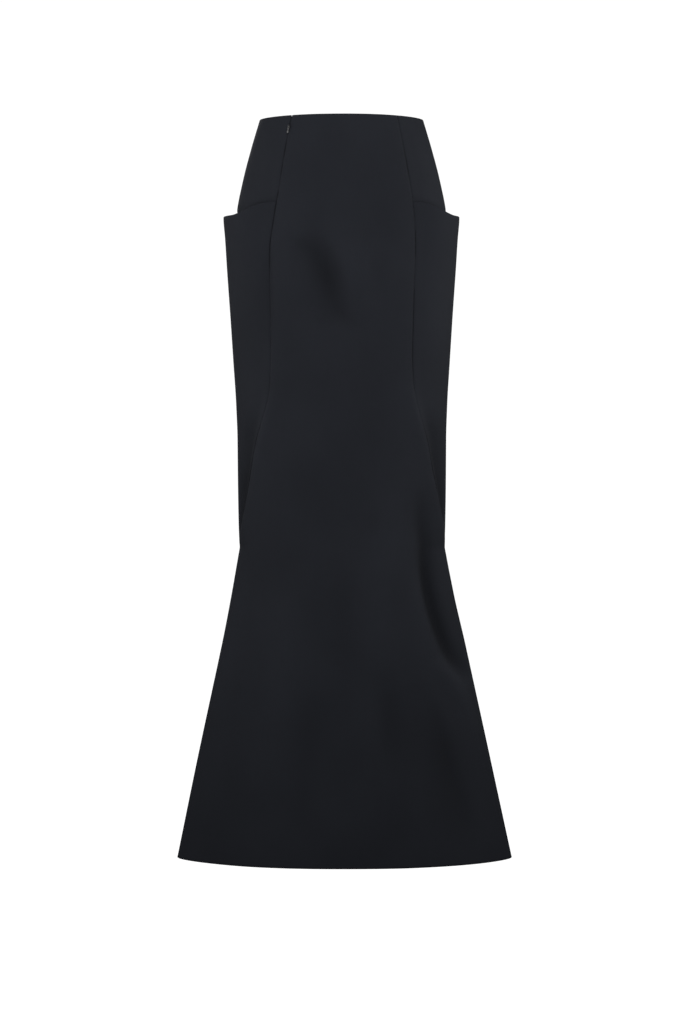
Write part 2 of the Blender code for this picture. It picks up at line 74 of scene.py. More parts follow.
TIP_DROP = 0.625  # where a side panel runs out to its point
HEM_DROP = 1.082
HEM_RISE = 0.005  # how much higher the hem is at the side seams
HEM_SPREAD = 2.6  # the higher this is, the nearer that rise keeps to the side seams
WAIST_DIP = 0.0015  # how much lower the waist edge is at the sides
WAIST_FADE = 0.0155  # the waist's dip dies out over this height

Section = namedtuple("Section", "drop half_width lean front back corner flatness")
# lean is how far the section is shifted towards +X. corner is 1 where the outline rounds
# the side and 2 where it comes to an edge there. flatness above 2 flattens the middle of
# the front and back.
COLUMN = [
    Section(0.000, 0.1190, 0.0000, 0.088, 0.090, 1.00, 2.15),
    Section(0.045, 0.1323, 0.0000, 0.096, 0.101, 1.00, 2.15),
    Section(0.090, 0.1439, 0.0000, 0.103, 0.112, 1.00, 2.15),
    Section(0.137, 0.1530, 0.0000, 0.109, 0.121, 1.00, 2.15),
    Section(0.170, 0.1558, 0.0000, 0.111, 0.126, 1.00, 2.15),
    Section(0.230, 0.1572, 0.0000, 0.112, 0.130, 1.00, 2.15),
    Section(0.300, 0.1561, 0.0001, 0.112, 0.129, 1.00, 2.15),
    Section(0.350, 0.1547, 0.0002, 0.111, 0.126, 1.00, 2.15),
    Section(0.417, 0.1527, 0.0004, 0.110, 0.122, 1.00, 2.15),
    Section(0.475, 0.1523, 0.0006, 0.110, 0.120, 1.03, 2.15),
    Section(0.534, 0.1518, 0.0007, 0.110, 0.119, 1.08, 2.15),
    Section(0.590, 0.1509, 0.0008, 0.110, 0.119, 1.13, 2.15),
    Section(0.625, 0.1496, 0.0009, 0.111, 0.120, 1.20, 2.15),
    Section(0.700, 0.1640, 0.0020, 0.115, 0.125, 1.40, 2.18),
    Section(0.770, 0.1790, 0.0033, 0.120, 0.131, 1.57, 2.22),
    Section(0.920, 0.2116, 0.0036, 0.130, 0.144, 1.80, 2.30),
    Section(1.082, 0.2458, 0.0046, 0.142, 0.160, 1.92, 2.40),
]

Seam = namedtuple("Seam", "drop degrees turn")
# The four long seams lie at this angle from centre front or centre back. The skirt is
# turned a little on the body at the waist.
SEAMS = [
    Seam(0.000, 40.0, 2.6),
    Seam(0.100, 40.2, 2.6),
    Seam(0.150, 41.2, 2.0),
    Seam(0.195, 42.2, 0.8),
    Seam(0.250, 41.7, 0.0),
    Seam(0.330, 41.3, 0.0),
    Seam(0.385, 42.4, 0.0),
    Seam(0.412, 44.2, 0.0),
    Seam(0.440, 48.4, 0.0),
    Seam(0.470, 53.7, 0.0),
    Seam(0.512, 59.3, 0.0),
    Seam(0.541, 64.0, 0.0),
    Seam(0.585, 73.7, 0.0),
    Seam(0.625, 90.0, 0.0),
]

Pocket = namedtuple("Pocket", "drop stand_off recess")
# stand_off is how far a side panel stands away at the side, and recess how far it sinks
# behind the flaring front and back edges.
POCKET = [
    Pocket(0.125, 0.0200, 0.000),
    Pocket(0.143, 0.0186, 0.000),
    Pocket(0.170, 0.0145, 0.000),
    Pocket(0.198, 0.0117, 0.000),
    Pocket(0.242, 0.0084, 0.000),
    Pocket(0.300, 0.0054, 0.000),
    Pocket(0.359, 0.0033, 0.000),
    Pocket(0.417, 0.0014, 0.000),
    Pocket(0.470, 0.0000, 0.006),
    Pocket(0.540, 0.0000, 0.008),
    Pocket(0.600, 0.0000, 0.004),
    Pocket(0.625, 0.0000, 0.000),
]
MOUTH_SIDE = 0.1431  # drop of the pocket's mouth at the side
MOUTH_SEAM = 0.1264  # and where it meets the long seams
MOUTH_FADE = 0.030  # the mouth's curve dies out over this height
MOUTH_CURVE = (0.35, 0.97)  # it runs between these shares of the way from the side to a seam
POCKET_FLOOR = 0.400
POCKET_SPREAD = 2.5  # how squarely the mouth bulges between the seams
RECESS_REACH = 0.012  # the recess is deepest this far in from a seam
RECESS_SPREAD = 0.5  # it grows from nothing at the side to its full depth over this share
RECESS_EDGE = 6  # how sharply it ends at a seam
TUCK_HEIGHT = 0.012  # the yoke turns in behind the pocket over this height
PANEL_TOP = 0.120  # a side panel's form is worked out from above its mouth
PANEL_TIP = 0.623

Crease = namedtuple("Crease", "face start middle end low high depth")
# Soft creases. Each runs down through three points, given as (drop, x) on its face. low and
# high are its widths towards -X and +X. A trough has a depth above zero, and a ridge one
# below zero.
FRONT_CREASES = [
    # The pull from the hip, and the fullness over it and under it.
    ((0.176, -0.056), (0.236, -0.0215), (0.316, -0.007), 0.022, 0.019, 0.0063),
    ((0.174, -0.084), (0.194, -0.056), (0.212, -0.030), 0.010, 0.009, 0.0014),
    ((0.274, -0.012), (0.297, 0.006), (0.318, 0.024), 0.009, 0.010, 0.0016),
    ((0.160, -0.040), (0.216, 0.008), (0.316, 0.030), 0.012, 0.030, -0.0032),
    ((0.275, -0.060), (0.325, -0.043), (0.390, -0.026), 0.020, 0.024, -0.0016),
    ((0.185, -0.104), (0.250, -0.103), (0.340, -0.101), 0.011, 0.008, 0.0026),
    ((0.196, 0.060), (0.232, 0.050), (0.275, 0.044), 0.012, 0.014, 0.0012),
    # The edge stands up where the long seams bend out.
    ((0.385, 0.100), (0.440, 0.110), (0.510, 0.130), 0.012, 0.006, -0.0026),
    ((0.395, -0.101), (0.455, -0.115), (0.530, -0.133), 0.006, 0.012, -0.0024),
    # The deep trough down the wearer's left of the flare, between its ridges.
    ((0.540, 0.112), (0.725, 0.1360), (0.820, 0.188), 0.011, 0.0105, 0.0118),
    ((0.500, 0.134), (0.620, 0.147), (0.720, 0.166), 0.010, 0.010, -0.0036),
    ((0.545, 0.080), (0.690, 0.100), (0.800, 0.140), 0.036, 0.020, -0.0024),
    ((0.790, 0.126), (0.868, 0.179), (1.070, 0.221), 0.013, 0.012, -0.0064),
    ((0.812, 0.104), (0.930, 0.150), (1.084, 0.190), 0.070, 0.014, 0.0050),
    # Soft flutes at the knee and below it.
    ((0.630, -0.003), (0.740, 0.002), (0.900, 0.010), 0.026, 0.022, 0.0022),
    ((0.600, 0.046), (0.700, 0.050), (0.820, 0.058), 0.024, 0.024, -0.0016),
    ((0.800, 0.062), (0.880, 0.064), (0.960, 0.070), 0.015, 0.018, 0.0028),
    ((0.640, -0.062), (0.760, -0.076), (0.900, -0.090), 0.026, 0.026, -0.0018),
    ((0.830, -0.048), (0.930, -0.054), (1.060, -0.062), 0.022, 0.018, 0.0015),
    ((0.930, 0.096), (1.000, 0.106), (1.078, 0.116), 0.016, 0.016, -0.0010),
    ((0.930, 0.020), (1.000, 0.024), (1.078, 0.030), 0.024, 0.024, -0.0012),
    ((0.650, -0.138), (0.790, -0.172), (0.980, -0.212), 0.010, 0.014, -0.0020),
]
# The same kinds of crease, in other places.
BACK_CREASES = [
    ((0.225, 0.062), (0.285, 0.020), (0.360, -0.012), 0.022, 0.014, 0.0052),
    ((0.205, 0.040), (0.270, -0.002), (0.346, -0.036), 0.028, 0.013, -0.0028),
    ((0.196, -0.082), (0.240, -0.060), (0.300, -0.046), 0.013, 0.016, 0.0018),
    ((0.385, 0.100), (0.435, 0.109), (0.500, 0.128), 0.012, 0.006, -0.0024),
    ((0.395, -0.100), (0.450, -0.113), (0.515, -0.130), 0.006, 0.012, -0.0025),
    ((0.560, -0.108), (0.700, -0.124), (0.830, -0.172), 0.011, 0.016, 0.0074),
    ((0.530, -0.134), (0.660, -0.144), (0.770, -0.168), 0.010, 0.011, -0.0030),
    ((0.800, -0.148), (0.890, -0.186), (1.040, -0.220), 0.010, 0.017, -0.0036),
    ((0.600, 0.108), (0.720, 0.120), (0.820, 0.152), 0.017, 0.011, 0.0052),
    ((0.640, 0.060), (0.760, 0.066), (0.880, 0.080), 0.024, 0.024, -0.0017),
    ((0.700, 0.012), (0.830, 0.006), (0.990, -0.004), 0.026, 0.022, 0.0045),
    ((0.850, -0.060), (0.940, -0.066), (1.060, -0.074), 0.020, 0.022, 0.0018),
    ((0.900, 0.104), (0.980, 0.114), (1.076, 0.126), 0.019, 0.017, 0.0016),
    ((0.860, 0.160), (0.950, 0.186), (1.050, 0.208), 0.016, 0.012, -0.0019),
]
CREASES = [Crease("front", *row) for row in FRONT_CREASES]
CREASES += [Crease("back", *row) for row in BACK_CREASES]
CREASE_STEPS = 36
CREASE_FADE = 0.30  # a crease dies out where the cosine of the angle falls under this
CREASE_REACH = 3.0  # and this many widths from its line

Ease = namedtuple("Ease", "down across phase height")
# Slow swells that keep the cloth from lying perfectly smooth: cycles for each metre.
EASES = [
    Ease(3.1, 4.3, 0.4, 0.00034),
    Ease(5.7, -6.1, 2.2, 0.00022),
    Ease(1.7, 9.2, 4.1, 0.00026),
    Ease(8.9, 2.9, 1.3, 0.00013),
    Ease(-4.3, 13.1, 5.2, 0.00012),
]

KINK_SLOPE = 0.229  # how much more the outline slopes below the tips than above them
KINK_REACH = 0.060  # away from the sides, the kink is rounded over this height
KINK_FADE = 0.84  # and out to this share of the half width

TABLE_STEP = 0.0025  # height between the rows at which a panel's form is worked out
SAMPLES = 700  # points across a row from which its lengths are measured
STATIONS = 240  # evenly spaced places across a row at which its form is kept
INSIDE = 1.0001  # keeps a place between rows or stations just inside the last one
SEAM_DIP = 0.0003  # the cloth sinks in at a seam
SEAM_DIP_REACH = 0.0018
MITRE = 0.0035  # neighbouring panels share one outward direction this near to a seam
WEAVE_MAP = "weave"  # distances along the cloth's threads, in metres
FAR = 1.0  # stands for the distance to a fold that a panel doesn't have

# The cloth's meshes: how many cells there are across a panel, the height of a cell, and the
# cells of a fold and of what is turned in behind it.
BODY_COLUMNS = 104
BODY_CELL = 0.0042
SIDE_COLUMNS = 48
SIDE_CELL = 0.0038
ROLL_STEPS = 6
BEHIND = 1.01  # what lies more than this many fold radii under the face is behind it
NARROW = 1.2  # where a panel is narrow, its turnings stay this many fold radii off its middle
SEAM_CELLS = 3
TOP_CELLS = 6
HEM_CELLS = 8

# The zip's seam. Its widths are measured to the middle of the folded cloth on both sides, so
# one thickness of the cloth is taken up by each.
ZIP_END = 0.160
ZIP_TOP = 0.0026  # width of the notch at the waist edge
ZIP_TOP_END = 0.0050  # drop at which the two folds meet under the notch
ZIP_MOUTH = 0.0017  # width round the slider's bridge
ZIP_MOUTH_START = 0.0122  # it opens from here
ZIP_MOUTH_OPEN = 0.0144
ZIP_MOUTH_FULL = 0.0200  # and closes from here
ZIP_MOUTH_SHUT = 0.0285
ZIP_SHUT = 0.0005  # width where the two folds press on each other
TAPE_TOP = 0.008
TAPE_INNER = 0.0034
TAPE_OUTER = 0.0125
TAPE_THICKNESS = 0.0006
TAPE_RIB = 0.0009  # from one rib of the tape to the next
TAPE_ROWS = 96
TAPE_COLUMNS = 13
COIL_TOP = 0.0235
COIL_END = 0.158
COIL_DEPTH = 0.0016
LOOP_MIDDLE = 0.00135  # each row of teeth is this far from the seam, and its loops reach
LOOP_REACH = 0.00150  # this far to both sides
LOOP_HEIGHT = 0.00052
LOOP_STEPS = 12

# The slider: two plates that lie behind the cloth, with a post and two flanges between them,
# and a bridge that stands out of the seam.
SLIDER_DROP = 0.0170
PLATE_FOOT = (0.0010, -0.0030)  # middles of the plates' corners
PLATE_FOOT_RADIUS = 0.0012
PLATE_SIDE = [(0.0026, -0.0022), (0.0032, 0.0002)]
PLATE_CROWN = (0.0016, 0.0026)
PLATE_CROWN_RADIUS = 0.0016
PLATE_THICKNESS = 0.0007
PLATE_ROUNDING = 0.00016
PLATE_SPACE = 0.0008  # between the plates, for the teeth
POST = [(0, 0.0030), (-0.0008, 0.0020), (0, 0.0002), (0.0008, 0.0020)]
POST_HEIGHT = 0.0012  # goes into both plates
POST_ROUNDING = 0.00010
FLANGE_MIDDLE = 0.0029
FLANGE_HALF_WIDTH = 0.0003
FLANGE_ENDS = (-0.0004, 0.0016)
BRIDGE_TOP = 0.00245
BRIDGE_ROOT = 0.0004  # how far it goes into the outer plate
BRIDGE_HALF_LENGTH = 0.0026
BRIDGE_SHOULDER = 0.0009  # radius of its outer corners
BRIDGE_FILLET = 0.0004  # and of its inner ones
BRIDGE_BAR = 0.0007
BRIDGE_WIDTH = 0.0008
BRIDGE_ROUNDING = 0.00018

# The pull, which hangs down from its crossbar.
PULL_PIVOT = 0.0010  # its hinge is this far out along the slider's axes
PULL_THICKNESS = 0.0009
PULL_ROUNDING = 0.00014
PULL_BULB = 0.0011
PULL_MIDDLE = -0.0091  # the bulb's middle
PULL_SIDE = [  # from the bulb up to the crossbar
    (0.001012, -0.0081), (0.000648, -0.0059), (0.0006, -0.0047), (0.001118, -0.0037),
    (0.0013, -0.0027),
]
PULL_CORNER = 0.0005
PULL_EYE_HALF_WIDTH = 0.0009
PULL_EYE_END = -0.0033
PULL_EYE_FILLET = 0.0004

# The hook's wire runs along the inside of one panel to the seam, and bends back round the
# bar of the eye, whose wire comes from the other panel.
HOOK_DROP = 0.0050
HOOK_REACH = 0.0075
HOOK_BEND = 0.0011  # the shank is straight to here
HOOK_POINTS = 9  # along the shank, which keep it round up to its bend
HOOK_TURN = (268, 72)  # degrees, from the shank round to the nose
HOOK_STEPS = 16
HOOK_DEPTH = 0.0034
HOOK_RADIUS = 0.00095
HOOK_HALF_WIDTH = 0.00042
HOOK_NOSE = 0.86  # width of its nose, as a share of its shank's
HOOK_WIRE = 0.82  # thickness of its wire, as a share of the eye's
BAR_PLACE = 0.0002  # how far the eye's bar lies towards +X of the seam
EYE_HALF_WIDTH = 0.0016
EYE_CORNER = 0.0007
WIRE = 0.00035
RING = 0.00090  # radius of the rings that are sewn down
RING_TURN = 345  # degrees of each ring, which isn't quite closed
RING_STEPS = 20
HOOK_RING = (0.0001, 0.001302)  # where a ring lies: past the wire's end, and to its side
HOOK_SEWN = (0.0001, 0.0013)  # and the middle of its stitches
EYE_RING = (0.0004, 0.0022)  # both on the eye
STITCHES = 5  # over each ring
STITCH_TURN = 30  # degrees from one to the next
# A stitch runs outwards over a ring's wire: how far out it is, and how high.
STITCH = [
    (0.00045, -0.0002), (0.00045, 0.0004), (0.00095, 0.00055), (0.0015, 0.0004),
    (0.0015, 0.0011),
]
SAME_PLACE = 1e-7  # points nearer than this are one

# Degrees. Sharper turns than these are shown as edges.
CLOTH_EDGE = 40
STRAND_EDGE = 60
PLATE_EDGE = 50

PHOTO_HEIGHT = 1023  # pixels
PHOTO_SCALE = 0.00146  # metres to a pixel at the middle of the skirt
CAMERA_DISTANCE = 6.0
CAMERA_X = -0.00064
CAMERA_Z = -0.5723
SENSOR = 36.0
FLOOR_SIZE = 14  # half its width
FLOOR_CELLS = 8

Lamp = namedtuple("Lamp", "name place aim size power")
# The soft lights. power is the stage's setting that holds a light's power.
LAMPS = [
    Lamp("key_light", (0.0, -0.90, 0.64), (0.0, 0.0, -0.25), 0.7, "key_power"),
    Lamp("front_light", (0.02, -1.15, -0.46), (0.0, 0.0, -0.48), 0.6, "front_power"),
    Lamp("left_light", (0.80, 0.12, -0.10), (0.10, 0.0, -0.25), 0.5, "left_power"),
    Lamp("low_left_light", (1.20, -0.20, -0.30), (0.0, 0.0, -0.45), 0.7, "low_left_power"),
    Lamp("right_light", (-0.80, 0.12, -0.10), (-0.10, 0.0, -0.25), 0.5, "right_power"),
    Lamp("low_right_light", (-1.20, -0.20, -0.30), (0.0, 0.0, -0.45), 0.7, "low_right_power"),
    Lamp("back_light", (-0.20, 1.10, 0.62), (0.0, 0.0, -0.30), 0.8, "back_power"),
    Lamp("low_back_light", (0.10, 1.20, -0.60), (0.0, 0.0, -0.65), 0.7, "low_back_power"),
]

Grain = namedtuple("Grain", "x y z detail roughness", defaults=(0.5,))
# Noise in a surface: its cycles for each metre along three axes, how many finer layers it
# has, and how strong they are. On cloth, x runs across the warp and y along it.
WARP = Grain(2300, 700, 1, 1.0)
WEFT = Grain(600, 1900, 1, 1.0)
CREPE = Grain(900, 520, 1, 2.0)
SLUB = Grain(160, 18, 1, 1.0)
PUCKER = Grain(30, 105, 1, 1.0)
CLOUDS = Grain(9, 9, 7, 3.0)
SLACKNESS = Grain(14, 14, 26, 1.0)
FIBRE = Grain(2600, 1400, 1, 2.0)
FILM = Grain(900, 900, 900, 3.0)
SCUFFS = Grain(2600, 700, 500, 4.0, 0.6)
BLOOM = Grain(420, 420, 420, 2.0)
SKIN = Grain(1400, 1400, 1400, 3.0)
PLIES = Grain(4200, 4200, 1600, 1.0)
MOTTLE = Grain(2, 2, 2, 3.0)

# The relief of the cloth and of the tape: heights, and how far from a seam they reach.
YARN = 0.000030
SLUB_HEIGHT = 0.000010
PROUD = 0.00006  # over the pressed turnings
PROUD_BLUR = 0.0012
DRAWN = 0.00020  # in at the thread
DRAWN_REACH = 0.0030
PUCKERED = 0.00030
PUCKERED_REACH = 0.011
HEM_LINE = 0.00004
HEM_LINE_BLUR = 0.002
TAPE_RIB_HEIGHT = 0.00004
TAPE_FIBRE_HEIGHT = 0.00005

# Painted shade in the cloth's colour: the heights between which it darkens in a crease, the
# distances at a seam, and the levels between which the seam lies slack and its painted shade is
# weaker.
CREASE_SHADE_HEIGHTS = (-0.0080, 0.0040)
DEEP_CREASE_SHADE_HEIGHTS = (-0.0105, -0.0040)
SEAM_SHADE_REACH = (0.0, 0.0022)
SEAM_EDGE_SHADE_REACH = (0.0002, 0.0009)
SLACK_FOOT = (-0.47, -0.42)
SLACK_TOP = (-0.40, -0.28)
SLACK_TILT = 0.45  # the upper level slopes by this much across the skirt


class Signal:
    """An output socket. Arithmetic on it adds Math nodes to its tree."""

    def __init__(self, paint, socket):
        self.paint = paint
        self.socket = socket

    def _math(self, operation, *values):
        settings = {"operation": operation}
        return self.paint.node("ShaderNodeMath", settings, dict(enumerate(values)))

    def __add__(self, other):
        return self._math("ADD", self, other)

    def __radd__(self, other):
        return self._math("ADD", other, self)

    def __sub__(self, other):
        return self._math("SUBTRACT", self, other)

    def __rsub__(self, other):
        return self._math("SUBTRACT", other, self)

    def __mul__(self, other):
        return self._math("MULTIPLY", self, other)

    def __rmul__(self, other):
        return self._math("MULTIPLY", other, self)

    def sine(self):
        return self._math("SINE", self)

    def between(self, low, high):
        """0 below low, 1 above high, and a smooth step between them."""
        settings = {"interpolation_type": "SMOOTHSTEP"}
        sockets = {"Value": self, "From Min": low, "From Max": high}
        return self.paint.node("ShaderNodeMapRange", settings, sockets)

    def under(self, low, high):
        """1 below low, 0 above high, and a smooth step between them."""
        return 1 - self.between(low, high)


class Paint:
    """A material, and the one way that nodes are added to it."""

    def __init__(self, name, **constants):
        self.material = bpy.data.materials.new(name)
        self.material.use_nodes = True
        self.tree = self.material.node_tree
        self.shader = self.tree.nodes["Principled BSDF"]
        for socket, value in constants.items():
            self.feed(self.shader.inputs[socket.replace("_", " ")], value)

    def node(self, kind, settings=None, sockets=None, output=0):
        node = self.tree.nodes.new(kind)
        for key, value in (settings or {}).items():
            setattr(node, key, value)
        for key, value in (sockets or {}).items():
            self.feed(node.inputs[key], value)
        return Signal(self, node.outputs[output])

    def feed(self, socket, value):
        if isinstance(value, Signal):
            self.tree.links.new(value.socket, socket)
        else:
            socket.default_value = value

    def set(self, socket, value):
        self.feed(self.shader.inputs[socket], value)

    def threads(self):
        """The place on the cloth along its threads, in metres."""
        return self.node("ShaderNodeUVMap", {"uv_map": WEAVE_MAP})

    def place(self):
        """The place in the piece's own axes."""
        return self.node("ShaderNodeTexCoord", None, None, "Object")

    def axis(self, vector, name):
        return self.node("ShaderNodeSeparateXYZ", None, {0: vector}, name)

    def noise(self, vector, grain):
        settings = {"operation": "MULTIPLY"}
        scale = (grain.x, grain.y, grain.z)
        stretched = self.node("ShaderNodeVectorMath", settings, {0: vector, 1: scale})
        sockets = {"Vector": stretched, "Scale": 1.0}
        sockets.update({"Detail": grain.detail, "Roughness": grain.roughness})
        return self.node("ShaderNodeTexNoise", None, sockets)

    def mixed(self, factor, first, second):
        """A colour between two others, each of which is a socket or a plain colour."""
        ends = [end if isinstance(end, Signal) else (*end, 1) for end in (first, second)]
        sockets = {0: factor, 6: ends[0], 7: ends[1]}
        return self.node("ShaderNodeMix", {"data_type": "RGBA"}, sockets, 2)

    def tinted(self, factor, colour, dark, light):
        """A colour between a darker and a lighter one of its own hue."""
        return self.mixed(factor, scaled(colour, dark), scaled(colour, light))

    def attribute(self, name):
        return self.node("ShaderNodeAttribute", {"attribute_name": name}, None, "Fac")

    def relief(self, height):
        """Feeds the normal with a height in metres."""
        sockets = {"Strength": 1.0, "Distance": 1.0, "Height": height}
        self.set("Normal", self.node("ShaderNodeBump", None, sockets))


def scaled(colour, factor):
    return tuple(channel * factor for channel in colour)


def cloth_material():
    """Near-black stretch suiting: a fine crepe of uneven threads, pressed flat at the seams, with
    painted shade in its creases and along its seams.
    """
    if "suiting_cloth" in bpy.data.materials:
        return bpy.data.materials["suiting_cloth"]
    looks = bpy.context.scene.column_skirt_cloth
    paint = Paint("suiting_cloth", Specular_IOR_Level=looks.shine)
    threads = paint.threads()
    place = paint.place()
    crepe = paint.noise(threads, CREPE)
    slub = paint.noise(threads, SLUB)
    seam = paint.attribute("seam_distance")
    fold = paint.attribute("fold_distance")

    # Under the pressed turnings the cloth lies a little proud, and it draws in at the thread.
    turning, hem = looks.seam_allowance, looks.hem_depth
    proud = seam.under(turning - PROUD_BLUR, turning + PROUD_BLUR) * PROUD
    drawn = seam.under(0.0, DRAWN_REACH) * DRAWN
    puckers = seam.under(0.0, PUCKERED_REACH) * paint.noise(threads, PUCKER) * PUCKERED
    hem_line = fold.under(hem - HEM_LINE_BLUR, hem + HEM_LINE_BLUR) * HEM_LINE
    yarns = paint.noise(threads, WARP) * YARN + paint.noise(threads, WEFT) * YARN
    grain = yarns + crepe * looks.grain
    paint.relief(grain + proud - drawn + puckers + hem_line + slub * SLUB_HEIGHT)

    # Painted shade: the colour darkens in the depth of a crease and between two seamed edges.
    # A long seam's painted shade is weaker where it lies slack under the hip.
    height = paint.attribute("height")
    crease_shade = height.under(*CREASE_SHADE_HEIGHTS)
    deep_crease_shade = height.under(*DEEP_CREASE_SHADE_HEIGHTS)
    rise = paint.axis(place, "Z")
    tilted = rise + paint.axis(place, "X") * SLACK_TILT
    slack = rise.between(*SLACK_FOOT) - tilted.between(*SLACK_TOP)
    uneven = paint.noise(place, SLACKNESS).between(0.40, 0.60)
    tight = (1 - slack * 0.75) * (uneven * 0.75 + 0.25)
    # painted shade right at the seam's folded edges
    edge = seam.under(*SEAM_EDGE_SHADE_REACH) * 0.55
    painted_seam_shade = (seam.under(*SEAM_SHADE_REACH) * 0.45 + edge) * tight
    tone = paint.noise(place, CLOUDS) * 0.55 + crepe * 0.40 + slub * 0.05
    even = paint.tinted(tone.between(0.30, 0.70), looks.colour, 0.92, 1.12)
    # the darkest colour of the painted shade
    shadow = scaled(looks.colour, 0.40)
    paint.set("Base Color", paint.mixed(crease_shade * 0.55 + deep_crease_shade * 0.30 + painted_seam_shade, even, shadow))
    pressed = seam.under(turning - 0.003, turning + 0.004)
    paint.set("Roughness", 0.86 - pressed * 0.05 + (crepe - 0.5) * 0.12)
    return paint.material


def tape_material():
    """The zip's woven tape, with fine ribs across it."""
    if "zip_tape_weave" in bpy.data.materials:
        return bpy.data.materials["zip_tape_weave"]
    paint = Paint("zip_tape_weave", Specular_IOR_Level=0.15, Sheen_Weight=0.08)
    threads = paint.threads()
    ribs = (paint.axis(threads, "Y") * (2 * math.pi / TAPE_RIB)).sine()
    fibre = paint.noise(threads, FIBRE)
    paint.relief(ribs * TAPE_RIB_HEIGHT + fibre * TAPE_FIBRE_HEIGHT)
    tone = (ribs * 0.25 + fibre).between(0.1, 0.9)
    paint.set("Base Color", paint.tinted(tone, RECORD_COLOURS["zip_tape"], 0.8, 1.3))
    paint.set("Roughness", 0.82 + fibre * 0.12)
    return paint.material


def nickel_material():
    """Black nickel plate: dull, lightly scuffed and a little uneven."""
    if "nickel_plate" in bpy.data.materials:
        return bpy.data.materials["nickel_plate"]
    paint = Paint("nickel_plate", Metallic=1.0)
    place = paint.place()
    scuffs = paint.noise(place, SCUFFS)
    bloom = paint.noise(place, BLOOM)
    paint.set("Base Color", paint.tinted(bloom, RECORD_COLOURS["nickel"], 0.90, 1.30))
    paint.set("Roughness", 0.30 + scuffs * 0.16 + bloom * 0.08)
    paint.relief(scuffs * 0.000006)
    return paint.material


def grained_material(name, slot, grain, tints, roughness, depth, **constants):
    """A finish whose colour, roughness and height all follow one grain.

    tints and roughness are pairs: how dark and light it gets, and its least roughness and
    how much the grain adds.
    """
    if name in bpy.data.materials:
        return bpy.data.materials[name]
    paint = Paint(name, **constants)
    noise = paint.noise(paint.place(), grain)
    paint.set("Base Color", paint.tinted(noise, RECORD_COLOURS[slot], *tints))
    paint.set("Roughness", roughness[0] + noise * roughness[1])
    paint.relief(noise * depth)
    return paint.material


def coil_material():
    """Black nylon, drawn smooth, with a dull film."""
    looks = ("zip_coil", FILM, (0.8, 1.35), (0.34, 0.22), 0.00001)
    return grained_material("zip_coil_nylon", *looks, Specular_IOR_Level=0.4)


def lacquer_material():
    """Black lacquer over metal, smooth but for a fine skin."""
    looks = ("lacquer", SKIN, (0.85, 1.25), (0.34, 0.14), 0.000004)
    return grained_material("black_lacquer", *looks, Specular_IOR_Level=0.35)


def thread_material():
    """Black sewing thread, two plies twisted."""
    looks = ("suiting", PLIES, (0.9, 2.2), (0.5, 0.2), 0.00002)
    return grained_material("sewing_thread", *looks, Specular_IOR_Level=0.25, Sheen_Weight=0.1)


def floor_material():
    """Pale matte paper with a faint mottle, lit from below as a light table is."""
    paint = Paint("pale_floor", Specular_IOR_Level=0.0, Emission_Strength=1.0)
    mottle = paint.noise(paint.place(), MOTTLE)
    white = (1.0, 1.0, 1.0)
    paint.set("Base Color", paint.tinted(mottle, white, 0.93, 0.96))
    paint.set("Emission Color", paint.tinted(mottle, white, 0.97, 1.0))
    paint.set("Roughness", 0.9 + mottle * 0.05)
    return paint.material


def smooth_step(low, high, value):
    t = np.clip((value - low) / (high - low), 0.0, 1.0)
    return t * t * (3 - 2 * t)


def curve_through(table, column):
    """A function of the drop that runs smoothly through one column of a table."""
    drops = np.array([row.drop for row in table])
    values = np.array([getattr(row, column) for row in table])
    steps = np.diff(drops)
    rises = np.diff(values) / steps
    before, after = rises[:-1], rises[1:]
    same_way = before * after > 0
    between = 2 * before * after / np.where(same_way, before + after, 1.0)
    slopes = np.concatenate((rises[:1], np.where(same_way, between, 0.0), rises[-1:]))

    def value(drop):
        drop = np.clip(drop, drops[0], drops[-1])
        i = np.clip(np.searchsorted(drops, drop, side="right") - 1, 0, len(steps) - 1)
        step = steps[i]
        t = (drop - drops[i]) / step
        start = (1 + 2 * t) * (1 - t) ** 2 * values[i] + t * (1 - t) ** 2 * step * slopes[i]
        end = t * t * (3 - 2 * t) * values[i + 1] - t * t * (1 - t) * step * slopes[i + 1]
        return start + end

    return value


column_half_width = curve_through([row for row in COLUMN if row.drop <= TIP_DROP], "half_width")
flare_half_width = curve_through([row for row in COLUMN if row.drop >= TIP_DROP], "half_width")
lean_of = curve_through(COLUMN, "lean")
front_depth = curve_through(COLUMN, "front")
back_depth = curve_through(COLUMN, "back")
corner_of = curve_through(COLUMN, "corner")
flatness_of = curve_through(COLUMN, "flatness")
seam_degrees = curve_through(SEAMS, "degrees")
turn_degrees = curve_through(SEAMS, "turn")
stand_off = curve_through(POCKET, "stand_off")
recess = curve_through(POCKET, "recess")


def half_width(drop):
    """Half the skirt's width at a drop. The outline has a kink at the side panels' tips."""
    return np.where(drop <= TIP_DROP, column_half_width(drop), flare_half_width(drop))


def column_point(drop, angle):
    """Points of the smooth skirt, without its creases."""
    drop, angle = np.broadcast_arrays(drop, angle)
    side = np.sin(angle)
    near = np.clip(1 - np.abs(drop - TIP_DROP) / KINK_REACH, 0, 1)
    inner = 1 - smooth_step(KINK_FADE, 1.0, np.abs(side))
    eased = half_width(drop) + KINK_SLOPE * KINK_REACH / 4 * near**2 * inner
    depth = np.where(np.cos(angle) > 0, -front_depth(drop), back_depth(drop))
    fullness = np.maximum(0.0, 1 - np.abs(side) ** flatness_of(drop))
    y = depth * fullness ** (corner_of(drop) / 2)
    return np.stack((lean_of(drop) + eased * side, y, -drop), axis=-1)


def level_outward(along):
    """The level directions square to the ones given, out of the skirt."""
    out = np.stack((along[..., 1], -along[..., 0], np.zeros_like(along[..., 0])), axis=-1)
    return out / np.linalg.norm(out, axis=-1, keepdims=True)


def outward(drop, angle):
    step = math.radians(2)
    return level_outward(column_point(drop, angle + step) - column_point(drop, angle - step))


